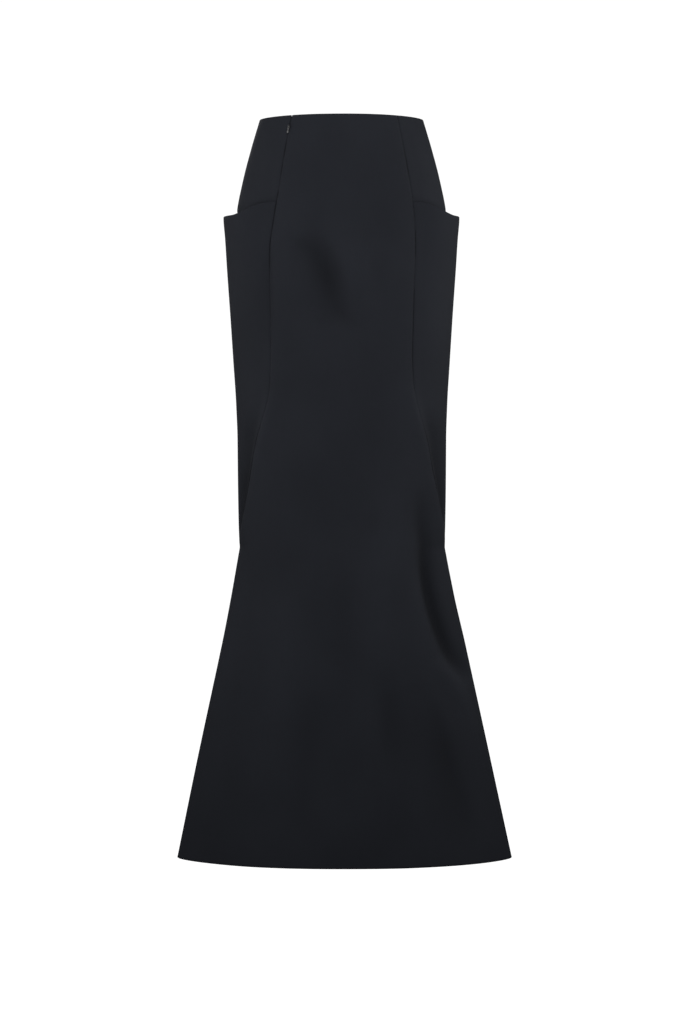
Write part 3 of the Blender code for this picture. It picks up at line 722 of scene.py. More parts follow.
def crease_line(crease):
    """Points along a crease, on the curve through its start, middle and end."""
    start, middle, end = (np.array(p) for p in (crease.start, crease.middle, crease.end))
    control = 2 * middle - (start + end) / 2
    t = np.linspace(0, 1, CREASE_STEPS + 1)[:, None]
    return (1 - t) ** 2 * start + 2 * t * (1 - t) * control + t * t * end


def crease_height(drop, angle):
    """How far the creases and the slow swells move the cloth out at each place."""
    facing = np.cos(angle)
    x = half_width(drop) * np.sin(angle)
    here = np.stack((drop, x), axis=-1)
    height = np.zeros(drop.shape)
    for crease in CREASES:
        line = crease_line(crease)
        reach = CREASE_REACH * max(crease.low, crease.high)
        low, high = line.min(axis=0) - reach, line.max(axis=0) + reach
        near = np.all((here > low) & (here < high), axis=-1)
        near &= (facing > 0) == (crease.face == "front")
        if not near.any():
            continue
        start, step = line[:-1], np.diff(line, axis=0)
        gap = here[near][:, None, :] - start
        t = np.clip((gap * step).sum(-1) / (step * step).sum(-1), 0, 1)
        away = gap - t[..., None] * step
        distance = np.linalg.norm(away, axis=-1)
        nearest = distance.argmin(axis=1)
        rows = np.arange(len(nearest))
        strength = np.sin(np.pi * (nearest + t[rows, nearest]) / CREASE_STEPS)
        off, along = away[rows, nearest], step[nearest]
        beside = off[:, 0] * along[:, 1] < off[:, 1] * along[:, 0]
        width = np.where(beside, crease.high, crease.low)
        spread = np.exp(-((distance[rows, nearest] / width) ** 2))
        height[near] -= crease.depth * strength * spread
    for ease in EASES:
        turns = ease.down * drop + ease.across * x
        height += ease.height * np.sin(2 * math.pi * turns + ease.phase)
    strength = bpy.context.scene.column_skirt_cloth.crease_strength
    return strength * height * smooth_step(0.0, CREASE_FADE, np.abs(facing))


def cloth_point(drop, angle, lift):
    """Points at a lift from the creased skirt."""
    drop, angle, lift = np.broadcast_arrays(drop, angle, lift)
    height = lift + crease_height(drop, angle)
    return column_point(drop, angle) + outward(drop, angle) * height[..., None]


def seam_angle(drop):
    """The angle of a long seam from centre front or back. Below the tips it is at the side."""
    return np.where(drop < TIP_DROP, np.radians(seam_degrees(drop)), math.pi / 2)


def turn_angle(drop):
    return np.radians(turn_degrees(drop))


def gap_angle(drop, angle, gap):
    """The angle that sets a panel's edge back from its seam by half a gap."""
    depth = np.minimum(front_depth(drop), back_depth(drop))
    fullness = (gap / 2 / depth) ** (2 / corner_of(drop))
    below = np.sqrt(2 * fullness / flatness_of(drop))
    step = math.radians(0.5)
    along = column_point(drop, angle + step) - column_point(drop, angle - step)
    above = gap * step / np.linalg.norm(along, axis=-1)
    return np.where(drop >= TIP_DROP, below, above)


def plain_gap(drop):
    return np.full_like(drop, SEAM_GAP)


def zip_gap(drop):
    """The width of the zip's seam: a notch at the waist, and open round the slider."""
    notch = (ZIP_TOP - ZIP_SHUT) * np.clip(1 - drop / ZIP_TOP_END, 0, 1)
    opened = smooth_step(ZIP_MOUTH_START, ZIP_MOUTH_OPEN, drop)
    closed = smooth_step(ZIP_MOUTH_FULL, ZIP_MOUTH_SHUT, drop)
    return ZIP_SHUT + notch + (ZIP_MOUTH - ZIP_SHUT) * (opened - closed)


def zip_angle(drop):
    """The zip is in the front seam on the -X side."""
    return turn_angle(drop) - seam_angle(drop)


def body_edges(middle):
    """The seam angles of the front (0) or the back (pi)."""

    def edges(drop):
        half, turn = seam_angle(drop), turn_angle(drop)
        return middle - half + turn, middle + half + turn

    return edges


def side_edges(side):
    """The seam angles of the panels on the +X side (1) or the -X side (-1)."""

    def edges(drop):
        half, turn = seam_angle(drop), turn_angle(drop)
        near, far = side * half + turn, side * (math.pi - half) + turn
        return np.minimum(near, far), np.maximum(near, far)

    return edges


def no_lift(drop, place):
    return np.zeros(np.broadcast(drop, place).shape)


def pocket_edge(place):
    """The drop of the pocket's mouth across a side panel."""
    return MOUTH_SIDE - (MOUTH_SIDE - MOUTH_SEAM) * smooth_step(*MOUTH_CURVE, np.abs(place))


def pocket_lift(drop, place):
    """How far a side panel stands out: full at the side and nothing at the seams."""
    bulge = stand_off(drop) * (1 - np.abs(place) ** POCKET_SPREAD)
    first, last = side_edges(1)(drop)
    width = np.linalg.norm(column_point(drop, first) - column_point(drop, last), axis=-1) / 2
    from_seam = width * (1 - np.abs(place)) / RECESS_REACH
    sunk = recess(drop) * from_seam * np.exp(1 - from_seam)
    sunk = sunk * smooth_step(0.0, RECESS_SPREAD, np.abs(place))
    return bulge - sunk * (1 - np.abs(place) ** RECESS_EDGE)


def yoke_lift(drop, place):
    """The yoke lies flush with the front, then turns in behind the pocket."""
    edge = pocket_edge(place)
    return -(WALL + LAYER_GAP) * smooth_step(edge - TUCK_HEIGHT, edge, drop)


class PanelForm:
    """Where one panel lies: points by their drop and their distance from the low edge."""

    def __init__(self, edges, gaps, lift_at, top, bottom):
        first = math.floor(top / TABLE_STEP)
        last = math.ceil(bottom / TABLE_STEP)
        self.first = first
        drop = np.arange(first, last + 1)[:, None] * TABLE_STEP
        low, high = edges(drop)
        seams = (low, high)
        low = low + gap_angle(drop, low, gaps[0](drop))
        high = high - gap_angle(drop, high, gaps[1](drop))

        def points(share):
            angle = low + (high - low) * share
            lift = lift_at(drop, 2 * share - 1)
            point = column_point(drop, angle) + outward(drop, angle) * lift[..., None]
            return angle, lift, point

        even = np.linspace(0, 1, SAMPLES)[None, :]
        coarse = points(even)[-1]
        run = np.linalg.norm(np.diff(coarse, axis=1), axis=2).cumsum(axis=1)
        run = np.concatenate((np.zeros_like(run[:, :1]), run), axis=1)
        self.width = run[:, -1]
        wanted = np.linspace(0, 1, STATIONS)
        self.share = np.array([np.interp(wanted * row[-1], row, even[0]) for row in run])
        self.angle, lift, self.point = points(self.share)
        # For the painted shade, the wall of a hollow counts as part of it, from its lowest
        #         # place to the seam.
        half = STATIONS // 2
        sunk = np.minimum(lift, 0.0)
        left = np.minimum.accumulate(sunk[:, :half][:, ::-1], axis=1)[:, ::-1]
        right = np.minimum.accumulate(sunk[:, half:], axis=1)
        self.sunk = np.concatenate((left, right), axis=1)

        along = np.gradient(self.point, axis=1)
        own = level_outward(along)
        distance = wanted * self.width[:, None]
        for edge, away in zip(seams, (distance, self.width[:, None] - distance)):
            shared = outward(drop, edge)
            weight = smooth_step(0.0, MITRE, away)[..., None]
            own = own * weight + shared * (1 - weight)
        self.out = own / np.linalg.norm(own, axis=-1, keepdims=True)

    def width_at(self, drop):
        return self._mix_rows(self.width, drop)

    def _row(self, drop):
        row = np.clip(drop / TABLE_STEP - self.first, 0, len(self.width) - INSIDE)
        upper = row.astype(int)
        return upper, row - upper

    def _mix_rows(self, table, drop):
        upper, part = self._row(drop)
        return table[upper] * (1 - part) + table[upper + 1] * part

    def _mix(self, table, drop, distance):
        upper, down = self._row(drop)
        column = np.clip(distance / self.width_at(drop), 0, 1) * (STATIONS - INSIDE)
        left = column.astype(int)
        across = column - left
        if table.ndim == 3:
            down, across = down[..., None], across[..., None]
        above = table[upper, left] * (1 - across) + table[upper, left + 1] * across
        below = table[upper + 1, left] * (1 - across) + table[upper + 1, left + 1] * across
        return above * (1 - down) + below * down

    def place_at(self, drop, distance):
        """From -1 at the low edge to 1 at the high edge."""
        return 2 * self._mix(self.share, drop, distance) - 1

    def cloth(self, drop, distance, lift):
        """Points of the creased cloth, and its height for painted shade: hollows are below zero.
        """
        angle = self._mix(self.angle, drop, distance)
        creased = crease_height(drop, angle)
        out = self._mix(self.out, drop, distance) * (lift + creased)[..., None]
        height = creased + self._mix(self.sunk, drop, distance)
        return self._mix(self.point, drop, distance) + out, height


Turning = namedtuple("Turning", "inset share lift behind")
# Stations from a turned-in raw edge, round the fold and up to the face. inset is how far
# each is in from the fold, share the part of the turning's width that is added to it, and
# behind tells those that lie behind the face.


def turning(cells, radius):
    share = np.linspace(1, 0, cells + 1)[:-1]
    turn = np.radians(np.linspace(180, 0, ROLL_STEPS + 1))
    inset = np.concatenate((np.full(cells, radius), radius * (1 - np.sin(turn))))
    lift = np.concatenate((np.full(cells, -2 * radius), radius * (np.cos(turn) - 1)))
    share = np.concatenate((share, np.zeros(ROLL_STEPS + 1)))
    return Turning(inset, share, lift, lift < -BEHIND * radius)


def raw_edge():
    return Turning(np.zeros(1), np.zeros(1), np.zeros(1), np.zeros(1, bool))


def joined_stations(first, face_count, last):
    """Stations of one direction: a turning, the face and a turning, as whole arrays.

    side is -1, 0 or 1 for the three groups, and face the share of the way across.
    """
    blank = np.zeros(face_count)
    side = np.concatenate((-np.ones(len(first.inset)), blank, np.ones(len(last.inset))))
    face = np.zeros(len(side))
    face[side == 0] = np.linspace(0, 1, face_count + 2)[1:-1]
    parts = [np.concatenate((a, blank.astype(a.dtype), b[::-1])) for a, b in zip(first, last)]
    return side, face, Turning(*parts)


Cut = namedtuple("Cut", "top bottom top_turned bottom_turned drop_at columns cell")
# top and bottom are the drops of a panel's ends, top_turned and bottom_turned the widths
# turned in there (0 for a raw edge), and drop_at shapes its rows.


def across_panel(width, side, face, stations):
    """How far each station of each row is from the panel's low edge."""
    looks = bpy.context.scene.column_skirt_cloth
    radius = looks.fold_radius
    turned = np.minimum(looks.seam_allowance, width / 2 - NARROW * radius) - radius
    from_edge = stations.inset + stations.share * np.maximum(turned, 0.0)
    plain = radius + (width - 2 * radius) * face
    return np.where(side < 0, from_edge, np.where(side > 0, width - from_edge, plain))


def cloth_piece(name, form, cut, nodes):
    """A panel of thin cloth, turned in at its seams and ends."""
    looks = bpy.context.scene.column_skirt_cloth
    radius = looks.fold_radius
    seam = turning(SEAM_CELLS, radius)
    side, face, columns = joined_stations(seam, cut.columns - 1, seam)

    over = turning(TOP_CELLS, radius) if cut.top_turned else raw_edge()
    under = turning(HEM_CELLS, radius) if cut.bottom_turned else raw_edge()
    height = cut.bottom - cut.top
    end, down, rows = joined_stations(over, round(height / cut.cell) - 1, under)
    top_in = rows.inset + rows.share * (cut.top_turned - radius)
    bottom_in = rows.inset + rows.share * (cut.bottom_turned - radius)
    first, last = over.inset[-1], under.inset[-1]
    plain = first + (height - first - last) * down
    fallen = np.where(end < 0, top_in, np.where(end > 0, height - bottom_in, plain))

    row = (cut.top + fallen)[:, None]
    across = across_panel(form.width_at(row), side, face, columns)
    place = form.place_at(np.broadcast_to(row, across.shape), across)
    drop = cut.drop_at(row, place)
    width = form.width_at(drop)
    across = across_panel(width, side, face, columns)
    to_seam = np.minimum(across, width - across)
    dip = SEAM_DIP * np.exp(-((to_seam / SEAM_DIP_REACH) ** 2))
    lift = -looks.thickness / 2 + columns.lift + rows.lift[:, None] - dip
    points, level = form.cloth(drop, across, lift)

    way = np.where(columns.behind, -1.0, 1.0)
    weft = np.where(side < 0, way * across - width / 2, across - width / 2)
    weft = np.where(side > 0, width / 2 - way * (width - across), weft)
    to_top = fallen if cut.top_turned else np.full(len(fallen), FAR)
    to_bottom = height - fallen if cut.bottom_turned else np.full(len(fallen), FAR)
    to_fold = np.minimum(to_top, to_bottom)[:, None]
    distances = {
        "seam_distance": to_seam,
        "fold_distance": np.broadcast_to(to_fold, across.shape),
        # the material paints shade from this height, darker in creases and hollows
        "height": level,
    }
    # A corner is cut away where it would be turned in twice.
    behind = [stations.behind[:-1] | stations.behind[1:] for stations in (rows, columns)]
    kept = ~(behind[0][:, None] & behind[1])
    weave = np.stack((weft, -drop), axis=-1)
    mesh = grid_mesh(name, points, weave, kept, distances)
    piece = thickened(name, mesh, looks.thickness, cloth_material())
    dress(piece, "skirt", nodes)
    return piece


def grid_mesh(name, points, weave, kept, distances):
    """A mesh over a grid of points, with the cells that are kept, and its weave map."""
    rows, columns = points.shape[:2]
    number = np.arange(rows * columns).reshape(rows, columns)
    corners = (number[:-1, :-1], number[1:, :-1], number[1:, 1:], number[:-1, 1:])
    faces = np.stack(corners, axis=-1)[kept]
    used, faces = np.unique(faces, return_inverse=True)
    faces = faces.reshape(-1, 4)
    mesh = bpy.data.meshes.new(name)
    mesh.from_pydata(points.reshape(-1, 3)[used].tolist(), [], faces.tolist())
    layer = mesh.uv_layers.new(name=WEAVE_MAP)
    layer.data.foreach_set("uv", weave.reshape(-1, 2)[used][faces.ravel()].ravel())
    for key, grid in distances.items():
        attribute = mesh.attributes.new(key, "FLOAT", "POINT")
        attribute.data.foreach_set("value", grid.ravel()[used].astype(np.float32))
    return mesh


def linked(name, data):
    """A new object in the scene."""
    made = bpy.data.objects.new(name, data)
    bpy.context.scene.collection.objects.link(made)
    return made


def thickened(name, mesh, thickness, material):
    """An object of that thickness, with the mesh as its middle surface."""
    piece = linked(name, mesh)
    wall = piece.modifiers.new("thickness", "SOLIDIFY")
    wall.thickness = thickness
    wall.offset = 0
    wall.use_quality_normals = True
    return finished(piece, material, CLOTH_EDGE)


def finished(piece, material, sharp):
    """The piece with its modifiers and curves turned into one mesh.

    It is smooth but for edges that turn by more than sharp, in degrees.
    """
    bpy.context.view_layer.update()
    graph = bpy.context.evaluated_depsgraph_get()
    mesh = bpy.data.meshes.new_from_object(piece.evaluated_get(graph), depsgraph=graph)
    mesh.name = piece.name
    mesh.materials.clear()
    mesh.materials.append(material)
    mesh.shade_smooth()
    mesh.set_sharp_from_angle(angle=math.radians(sharp))
    name, matrix = piece.name, piece.matrix_world.copy()
    bpy.data.objects.remove(piece)
    made = linked(name, mesh)
    made.matrix_world = matrix
    return made


def dress(piece, body, nodes):
    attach(piece, body)
    if nodes:
        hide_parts(*nodes)


def waist_dip(row, angle):
    """How much lower the rows near the waist edge are, at an angle from the middle."""
    return WAIST_DIP * np.sin(angle) ** 2 * np.clip(1 - row / WAIST_FADE, 0, 1)


def body_row(row, place):
    """The waist dips at the sides, and the hem rises there."""
    rise = HEM_RISE * smooth_step(TIP_DROP, HEM_DROP, row) * np.abs(place) ** HEM_SPREAD
    return row + waist_dip(row, place * math.radians(SEAMS[0].degrees)) - rise


def yoke_row(row, place):
    quarter = math.pi / 2
    return row + waist_dip(row, quarter + place * (quarter - math.radians(SEAMS[0].degrees)))


def mouth_row(row, place):
    """Rows near a pocket's mouth follow its curve."""
    curve = (pocket_edge(place) - MOUTH_SIDE) * np.clip(1 - (row - MOUTH_SIDE) / MOUTH_FADE, 0, 1)
    return row + curve


def seam_frame(drop):
    """The axes at the zip's seam: X across it towards +X, Y up along it, Z out of the cloth."""
    step = 0.004  # up and down the seam, to find its direction
    drops = np.array([drop - step, drop, drop + step])
    above, place, below = (Vector(p) for p in cloth_point(drops, zip_angle(drops), 0.0))
    up = (above - below).normalized()
    out = Vector(outward(np.array(drop), zip_angle(np.array(drop))))
    out = (out - up * out.dot(up)).normalized()
    axes = Matrix((up.cross(out), up, out)).transposed().to_4x4()
    axes.translation = place
    return axes


def slider_frame():
    """The seam's axes at the slider, set so that the pull turns on its own hinge."""
    hinge = next(joint for joint in frame["joints"] if joint["name"] == "pull_swing")
    axes = seam_frame(SLIDER_DROP)
    axes.translation = Vector(hinge["pos_m"]) - axes.col[2].xyz * PULL_PIVOT
    return axes


def zip_depth(drop):
    """The lift of the zip's outer side. Below the mouth it lies in behind the yoke."""
    return yoke_lift(drop, np.ones_like(drop)) - WALL - ZIP_LAYER_GAP


def inside_seam(drop, across, lift):
    """Points behind the zip's seam, at a distance across it and a lift from the zip's side."""
    seam = zip_angle(drop)
    angle = seam + 2 * gap_angle(drop, seam, 1.0) * across
    return cloth_point(drop, angle, zip_depth(drop) + lift)


def arc(centre, radius, start, end, steps):
    """Points on a circle from one angle to another, in degrees."""
    turns = [math.radians(start + (end - start) * i / steps) for i in range(steps + 1)]
    return [(centre[0] + radius * math.cos(t), centre[1] + radius * math.sin(t)) for t in turns]


def whole(side):
    """A closed outline from its half on the +X side, which runs counterclockwise."""
    return side + [(-x, y) for x, y in reversed(side) if x > SAME_PLACE]


def add_line(curve, points, closed):
    """Adds points to a curve, each of two or three values, as one straight-sided line."""
    padded = np.zeros((len(points), 4))
    padded[:, : len(points[0])] = points
    padded[:, 3] = 1
    spline = curve.splines.new("POLY")
    spline.points.add(len(points) - 1)
    spline.points.foreach_set("co", padded.ravel())
    spline.use_cyclic_u = closed


def strand(name, lines, radius, material, fineness):
    """Round strands through lists of points, as one mesh."""
    curve = bpy.data.curves.new(name, "CURVE")
    curve.dimensions = "3D"
    curve.bevel_depth = radius
    curve.bevel_resolution = fineness
    curve.use_fill_caps = True
    for line in lines:
        add_line(curve, line, False)
    return finished(linked(name, curve), material, STRAND_EDGE)


def plate(name, outlines, thickness, rounding, axes, material):
    """A flat plate through closed outlines, with rounded edges."""
    curve = bpy.data.curves.new(name, "CURVE")
    curve.dimensions = "2D"
    curve.fill_mode = "BOTH"
    curve.extrude = thickness / 2 - rounding
    curve.bevel_depth = rounding
    curve.bevel_resolution = 3
    curve.offset = -rounding
    for outline in outlines:
        add_line(curve, outline, True)
    piece = linked(name, curve)
    piece.matrix_world = axes
    return finished(piece, material, PLATE_EDGE)


def joined(name, pieces):
    """One object with the first piece's origin and all the pieces' meshes."""
    shape = bmesh.new()
    target = pieces[0].matrix_world.inverted()
    for piece in pieces:
        start = len(shape.verts)
        shape.from_mesh(piece.data)
        shape.verts.ensure_lookup_table()
        shift = target @ piece.matrix_world
        bmesh.ops.transform(shape, matrix=shift, verts=shape.verts[start:])
    bmesh.ops.remove_doubles(shape, verts=shape.verts, dist=SAME_PLACE)
    mesh = pieces[0].data
    shape.to_mesh(mesh)
    shape.free()
    for piece in pieces[1:]:
        bpy.data.objects.remove(piece)
    pieces[0].name = name
    mesh.name = name
    return pieces[0]


class ColumnSkirtCloth(bpy.types.PropertyGroup):
    """The cloth, and how it is turned in at its edges."""

    thickness: FloatProperty(
        name="Thickness", description="Thickness of the cloth",
        default=0.00085, min=0.0004, max=0.0012, unit="LENGTH", precision=5,
    )
    fold_radius: FloatProperty(
        name="Fold radius", description="Radius of the cloth's middle where it is folded in",
        default=0.00046, min=0.0003, max=0.0007, unit="LENGTH", precision=5,
    )
    seam_allowance: FloatProperty(
        name="Seam allowance", description="Width turned in at the seams",
        default=0.012, min=0.006, max=0.02, unit="LENGTH", precision=4,
    )
    hem_depth: FloatProperty(
        name="Hem", description="Width turned up at the hem",
        default=0.035, min=0.015, max=0.05, unit="LENGTH", precision=4,
    )
    waist_turning: FloatProperty(
        name="Waist turning", description="Width turned in at the waist",
        default=0.015, min=0.008, max=0.03, unit="LENGTH", precision=4,
    )
    mouth_turning: FloatProperty(
        name="Pocket hem", description="Width turned in at the pocket's mouth",
        default=0.025, min=0.010, max=0.035, unit="LENGTH", precision=4,
    )
    crease_strength: FloatProperty(
        name="Creases", description="Depth of the creases, 1 as in the photograph",
        default=1.0, min=0.0, max=1.5, subtype="FACTOR",
    )
    colour: FloatVectorProperty(
        name="Colour", description="Colour of the cloth",
        default=(0.0109, 0.0119, 0.0151), min=0.0, max=1.0, size=3, subtype="COLOR",
    )
    shine: FloatProperty(
        name="Shine", description="Specular level of the cloth",
        default=0.04, min=0.0, max=1.0, subtype="FACTOR",
    )
    grain: FloatProperty(
        name="Crepe", description="Height of the crepe's grain",
        default=0.00007, min=0.0, max=0.0003, unit="LENGTH", precision=6,
    )


class ColumnSkirtZip(bpy.types.PropertyGroup):
    """The concealed zip."""

    tooth_pitch: FloatProperty(
        name="Tooth pitch", description="Distance from one tooth to the next on one side",
        default=0.00125, min=0.001, max=0.002, unit="LENGTH", precision=5,
    )
    filament: FloatProperty(
        name="Filament", description="Radius of the coil's nylon filament",
        default=0.00026, min=0.0002, max=0.0004, unit="LENGTH", precision=5,
    )
    thread: FloatProperty(
        name="Thread", description="Radius of the sewing thread",
        default=0.00012, min=0.00008, max=0.0002, unit="LENGTH", precision=5,
    )


class ColumnSkirtStage(bpy.types.PropertyGroup):
    """The light, the floor and the camera."""

    surround: FloatProperty(
        name="Surround", description="Brightness of the white surround as it is seen",
        default=1.05, min=0.0, max=2.0,
    )
    fill: FloatProperty(
        name="Fill", description="Brightness of the even light that falls on the skirt",
        default=0.12, min=0.0, max=2.0,
    )
    key_power: FloatProperty(
        name="Key light", description="Power of the soft light above the front",
        default=13.0, min=0.0, max=200.0, unit="POWER",
    )
    front_power: FloatProperty(
        name="Front light", description="Power of the soft light level with the knees",
        default=8.9, min=0.0, max=200.0, unit="POWER",
    )
    left_power: FloatProperty(
        name="Left light", description="Power of the soft light on the wearer's left",
        default=4.6, min=0.0, max=200.0, unit="POWER",
    )
    right_power: FloatProperty(
        name="Right light", description="Power of the soft light on the wearer's right",
        default=3.4, min=0.0, max=200.0, unit="POWER",
    )
    low_left_power: FloatProperty(
        name="Low left light", description="Power of the soft light by the wearer's left thigh",
        default=5.016, min=0.0, max=200.0, unit="POWER",
    )
    low_right_power: FloatProperty(
        name="Low right light", description="Power of the soft light by the wearer's right thigh",
        default=6.384, min=0.0, max=200.0, unit="POWER",
    )
    back_power: FloatProperty(
        name="Back light", description="Power of the soft light above the back",
        default=18.0, min=0.0, max=200.0, unit="POWER",
    )
    low_back_power: FloatProperty(
        name="Low back light", description="Power of the soft light level with the back's flare",
        default=6.5, min=0.0, max=200.0, unit="POWER",
    )
    floor_drop: FloatProperty(
        name="Floor", description="How far the floor is below the waist",
        default=1.45, min=1.09, max=1.6, unit="LENGTH",
    )


def body_panel(word, middle, gaps):
    """The front or the back: one panel from waist to hem."""
    looks = bpy.context.scene.column_skirt_cloth
    form = PanelForm(body_edges(middle), gaps, no_lift, 0.0, HEM_DROP)
    turned = (looks.waist_turning, looks.hem_depth)
    cut = Cut(0.0, HEM_DROP, *turned, body_row, BODY_COLUMNS, BODY_CELL)
    piece = cloth_piece(word + "_cloth", form, cut, [word + "_panel"])


class SKIRT_OT_front(bpy.types.Operator):
    """Make the front: one panel from waist to hem"""

    bl_idname = "skirt.front"
    bl_label = "Front"

    def execute(self, context):
        body_panel("front", 0.0, (zip_gap, plain_gap))
        return {"FINISHED"}


class SKIRT_OT_back(bpy.types.Operator):
    """Make the back: one panel from waist to hem"""

    bl_idname = "skirt.back"
    bl_label = "Back"

    def execute(self, context):
        body_panel("back", math.pi, (plain_gap, plain_gap))
        return {"FINISHED"}


class SKIRT_OT_yokes(bpy.types.Operator):
    """Make the two hip yokes, which go on as the pockets' inner sides"""

    bl_idname = "skirt.yokes"
    bl_label = "Hip yokes"

    def execute(self, context):
        looks = context.scene.column_skirt_cloth
        for side, word in ((1, "left"), (-1, "right")):
            gaps = (plain_gap, zip_gap if side < 0 else plain_gap)
            form = PanelForm(side_edges(side), gaps, yoke_lift, 0.0, POCKET_FLOOR)
            ends = (0.0, POCKET_FLOOR, looks.waist_turning, 0.0)
            cut = Cut(*ends, yoke_row, SIDE_COLUMNS, SIDE_CELL)
            piece = cloth_piece("yoke_cloth_" + word, form, cut, ["side_yoke_" + word])
        return {"FINISHED"}


class SKIRT_OT_side_panels(bpy.types.Operator):
    """Make the two side panels, which stand away from the hips as pockets"""

    bl_idname = "skirt.side_panels"
    bl_label = "Side panels"

    def execute(self, context):
        looks = context.scene.column_skirt_cloth
        for side, word in ((1, "left"), (-1, "right")):
            gaps = (plain_gap, plain_gap)
            form = PanelForm(side_edges(side), gaps, pocket_lift, PANEL_TOP, PANEL_TIP)
            ends = (MOUTH_SIDE, PANEL_TIP, looks.mouth_turning, 0.0)
            cut = Cut(*ends, mouth_row, SIDE_COLUMNS, SIDE_CELL)
            piece = cloth_piece("side_cloth_" + word, form, cut, ["side_panel_" + word])
        return {"FINISHED"}


class SKIRT_OT_zip_tapes(bpy.types.Operator):
    """Make the zip's two woven tapes"""

    bl_idname = "skirt.zip_tapes"
    bl_label = "Zip tapes"

    def execute(self, context):
        drop = np.linspace(TAPE_TOP, ZIP_END, TAPE_ROWS)[:, None]
        kept = np.ones((TAPE_ROWS - 1, TAPE_COLUMNS - 1), bool)
        for side, word in ((1, "front"), (-1, "side")):
            across = np.linspace(TAPE_INNER, TAPE_OUTER, TAPE_COLUMNS)[None, :] * side
            points = inside_seam(drop, across, -TAPE_THICKNESS / 2)
            weave = np.stack(np.broadcast_arrays(across, -drop), axis=-1)
            if side < 0:
                points, weave = points[:, ::-1], weave[:, ::-1]
            mesh = grid_mesh("zip_tape_weave_" + word, points, weave, kept, {})
            name = "zip_tape_woven_" + word
            piece = thickened(name, mesh, TAPE_THICKNESS, tape_material())
            dress(piece, "skirt", ["zip_tape_" + word])
        return {"FINISHED"}


class SKIRT_OT_zip_coil(bpy.types.Operator):
    """Make the closed teeth: two coils of nylon filament whose loops lie in turn"""

    bl_idname = "skirt.zip_coil"
    bl_label = "Zip coil"

    def execute(self, context):
        looks = context.scene.column_skirt_zip
        turns = int((COIL_END - COIL_TOP) / looks.tooth_pitch)
        phase = np.arange(turns * LOOP_STEPS + 1) / LOOP_STEPS
        turn = 2 * math.pi * phase
        lines = []
        for side in (1, -1):
            drop = COIL_TOP + looks.tooth_pitch * (phase + (0.5 if side < 0 else 0.0))
            across = side * (LOOP_MIDDLE + LOOP_REACH * np.cos(turn))
            lift = -COIL_DEPTH / 2 + LOOP_HEIGHT * np.sin(turn)
            lines.append(inside_seam(drop, across, lift))
        piece = strand("zip_coil_teeth", lines, looks.filament, coil_material(), 1)
        dress(piece, "skirt", ["zip_coil"])
        return {"FINISHED"}


class SKIRT_OT_slider(bpy.types.Operator):
    """Make the slider: two plates joined by a post, with a bridge for the pull"""

    bl_idname = "skirt.slider"
    bl_label = "Zip slider"

    def execute(self, context):
        lacquer = lacquer_material()
        axes = slider_frame()
        cloth = (axes.inverted() @ seam_frame(SLIDER_DROP).translation).z
        front = cloth - WALL - ZIP_LAYER_GAP  # the outer plate's outer side
        pieces = []

        def add(name, outline, thickness, rounding, depth):
            level = axes @ Matrix.Translation((0, 0, front - depth))
            pieces.append(plate(name, [outline], thickness, rounding, level, lacquer))

        side = arc(PLATE_FOOT, PLATE_FOOT_RADIUS, 270, 340, 4) + PLATE_SIDE
        outline = whole(side + arc(PLATE_CROWN, PLATE_CROWN_RADIUS, 0, 90, 6))
        middle = PLATE_THICKNESS + PLATE_SPACE / 2
        for depth in (PLATE_THICKNESS / 2, 2 * middle - PLATE_THICKNESS / 2):
            add("slider_plate", outline, PLATE_THICKNESS, PLATE_ROUNDING, depth)
        add("slider_post", POST, POST_HEIGHT, POST_ROUNDING, middle)
        low, high = FLANGE_ENDS
        for x in (FLANGE_MIDDLE, -FLANGE_MIDDLE):
            near, far = x - FLANGE_HALF_WIDTH, x + FLANGE_HALF_WIDTH
            flange = [(far, high), (near, high), (near, low), (far, low)]
            add("slider_flange", flange, POST_HEIGHT, POST_ROUNDING, middle)

        end, top, root = BRIDGE_HALF_LENGTH, BRIDGE_TOP, front - BRIDGE_ROOT
        inner_end, inner_top = end - BRIDGE_BAR, top - BRIDGE_BAR
        fillet, shoulder = BRIDGE_FILLET, BRIDGE_SHOULDER
        side = arc((inner_end - fillet, inner_top - fillet), fillet, 90, 0, 4)
        side += [(inner_end, root), (end, root)]
        arch = whole(side + arc((end - shoulder, top - shoulder), shoulder, 0, 90, 6))
        upright = axes @ Matrix(((0, 0, 1), (1, 0, 0), (0, 1, 0))).to_4x4()
        look = (BRIDGE_WIDTH, BRIDGE_ROUNDING, upright, lacquer)
        pieces.append(plate("slider_bridge", [arch], *look))
        piece = joined("zip_slider_plates", pieces)
        dress(piece, "skirt", ["zip_slider"])
        return {"FINISHED"}


class SKIRT_OT_pull(bpy.types.Operator):
    """Make the pull: a drop-shaped tab with an eye round the slider's bridge"""

    bl_idname = "skirt.pull"
    bl_label = "Zip pull"

    def execute(self, context):
        bar, corner = PULL_THICKNESS / 2, PULL_CORNER
        side = arc((0, PULL_MIDDLE), PULL_BULB, 270, 360, 9) + PULL_SIDE
        outline = whole(side + arc((PULL_SIDE[-1][0] - corner, bar - corner), corner, 0, 90, 4))
        fillet = PULL_EYE_FILLET
        foot = (PULL_EYE_HALF_WIDTH - fillet, PULL_EYE_END + fillet)
        hole = whole(arc(foot, fillet, 270, 360, 5) + [(PULL_EYE_HALF_WIDTH, -bar)])
        axes = slider_frame() @ Matrix.Translation((0, 0, PULL_PIVOT))
        look = (PULL_THICKNESS, PULL_ROUNDING, axes, nickel_material())
        piece = plate("zip_pull_tab", [outline, hole], *look)
        dress(piece, "pull", ["zip_pull"])
        return {"FINISHED"}


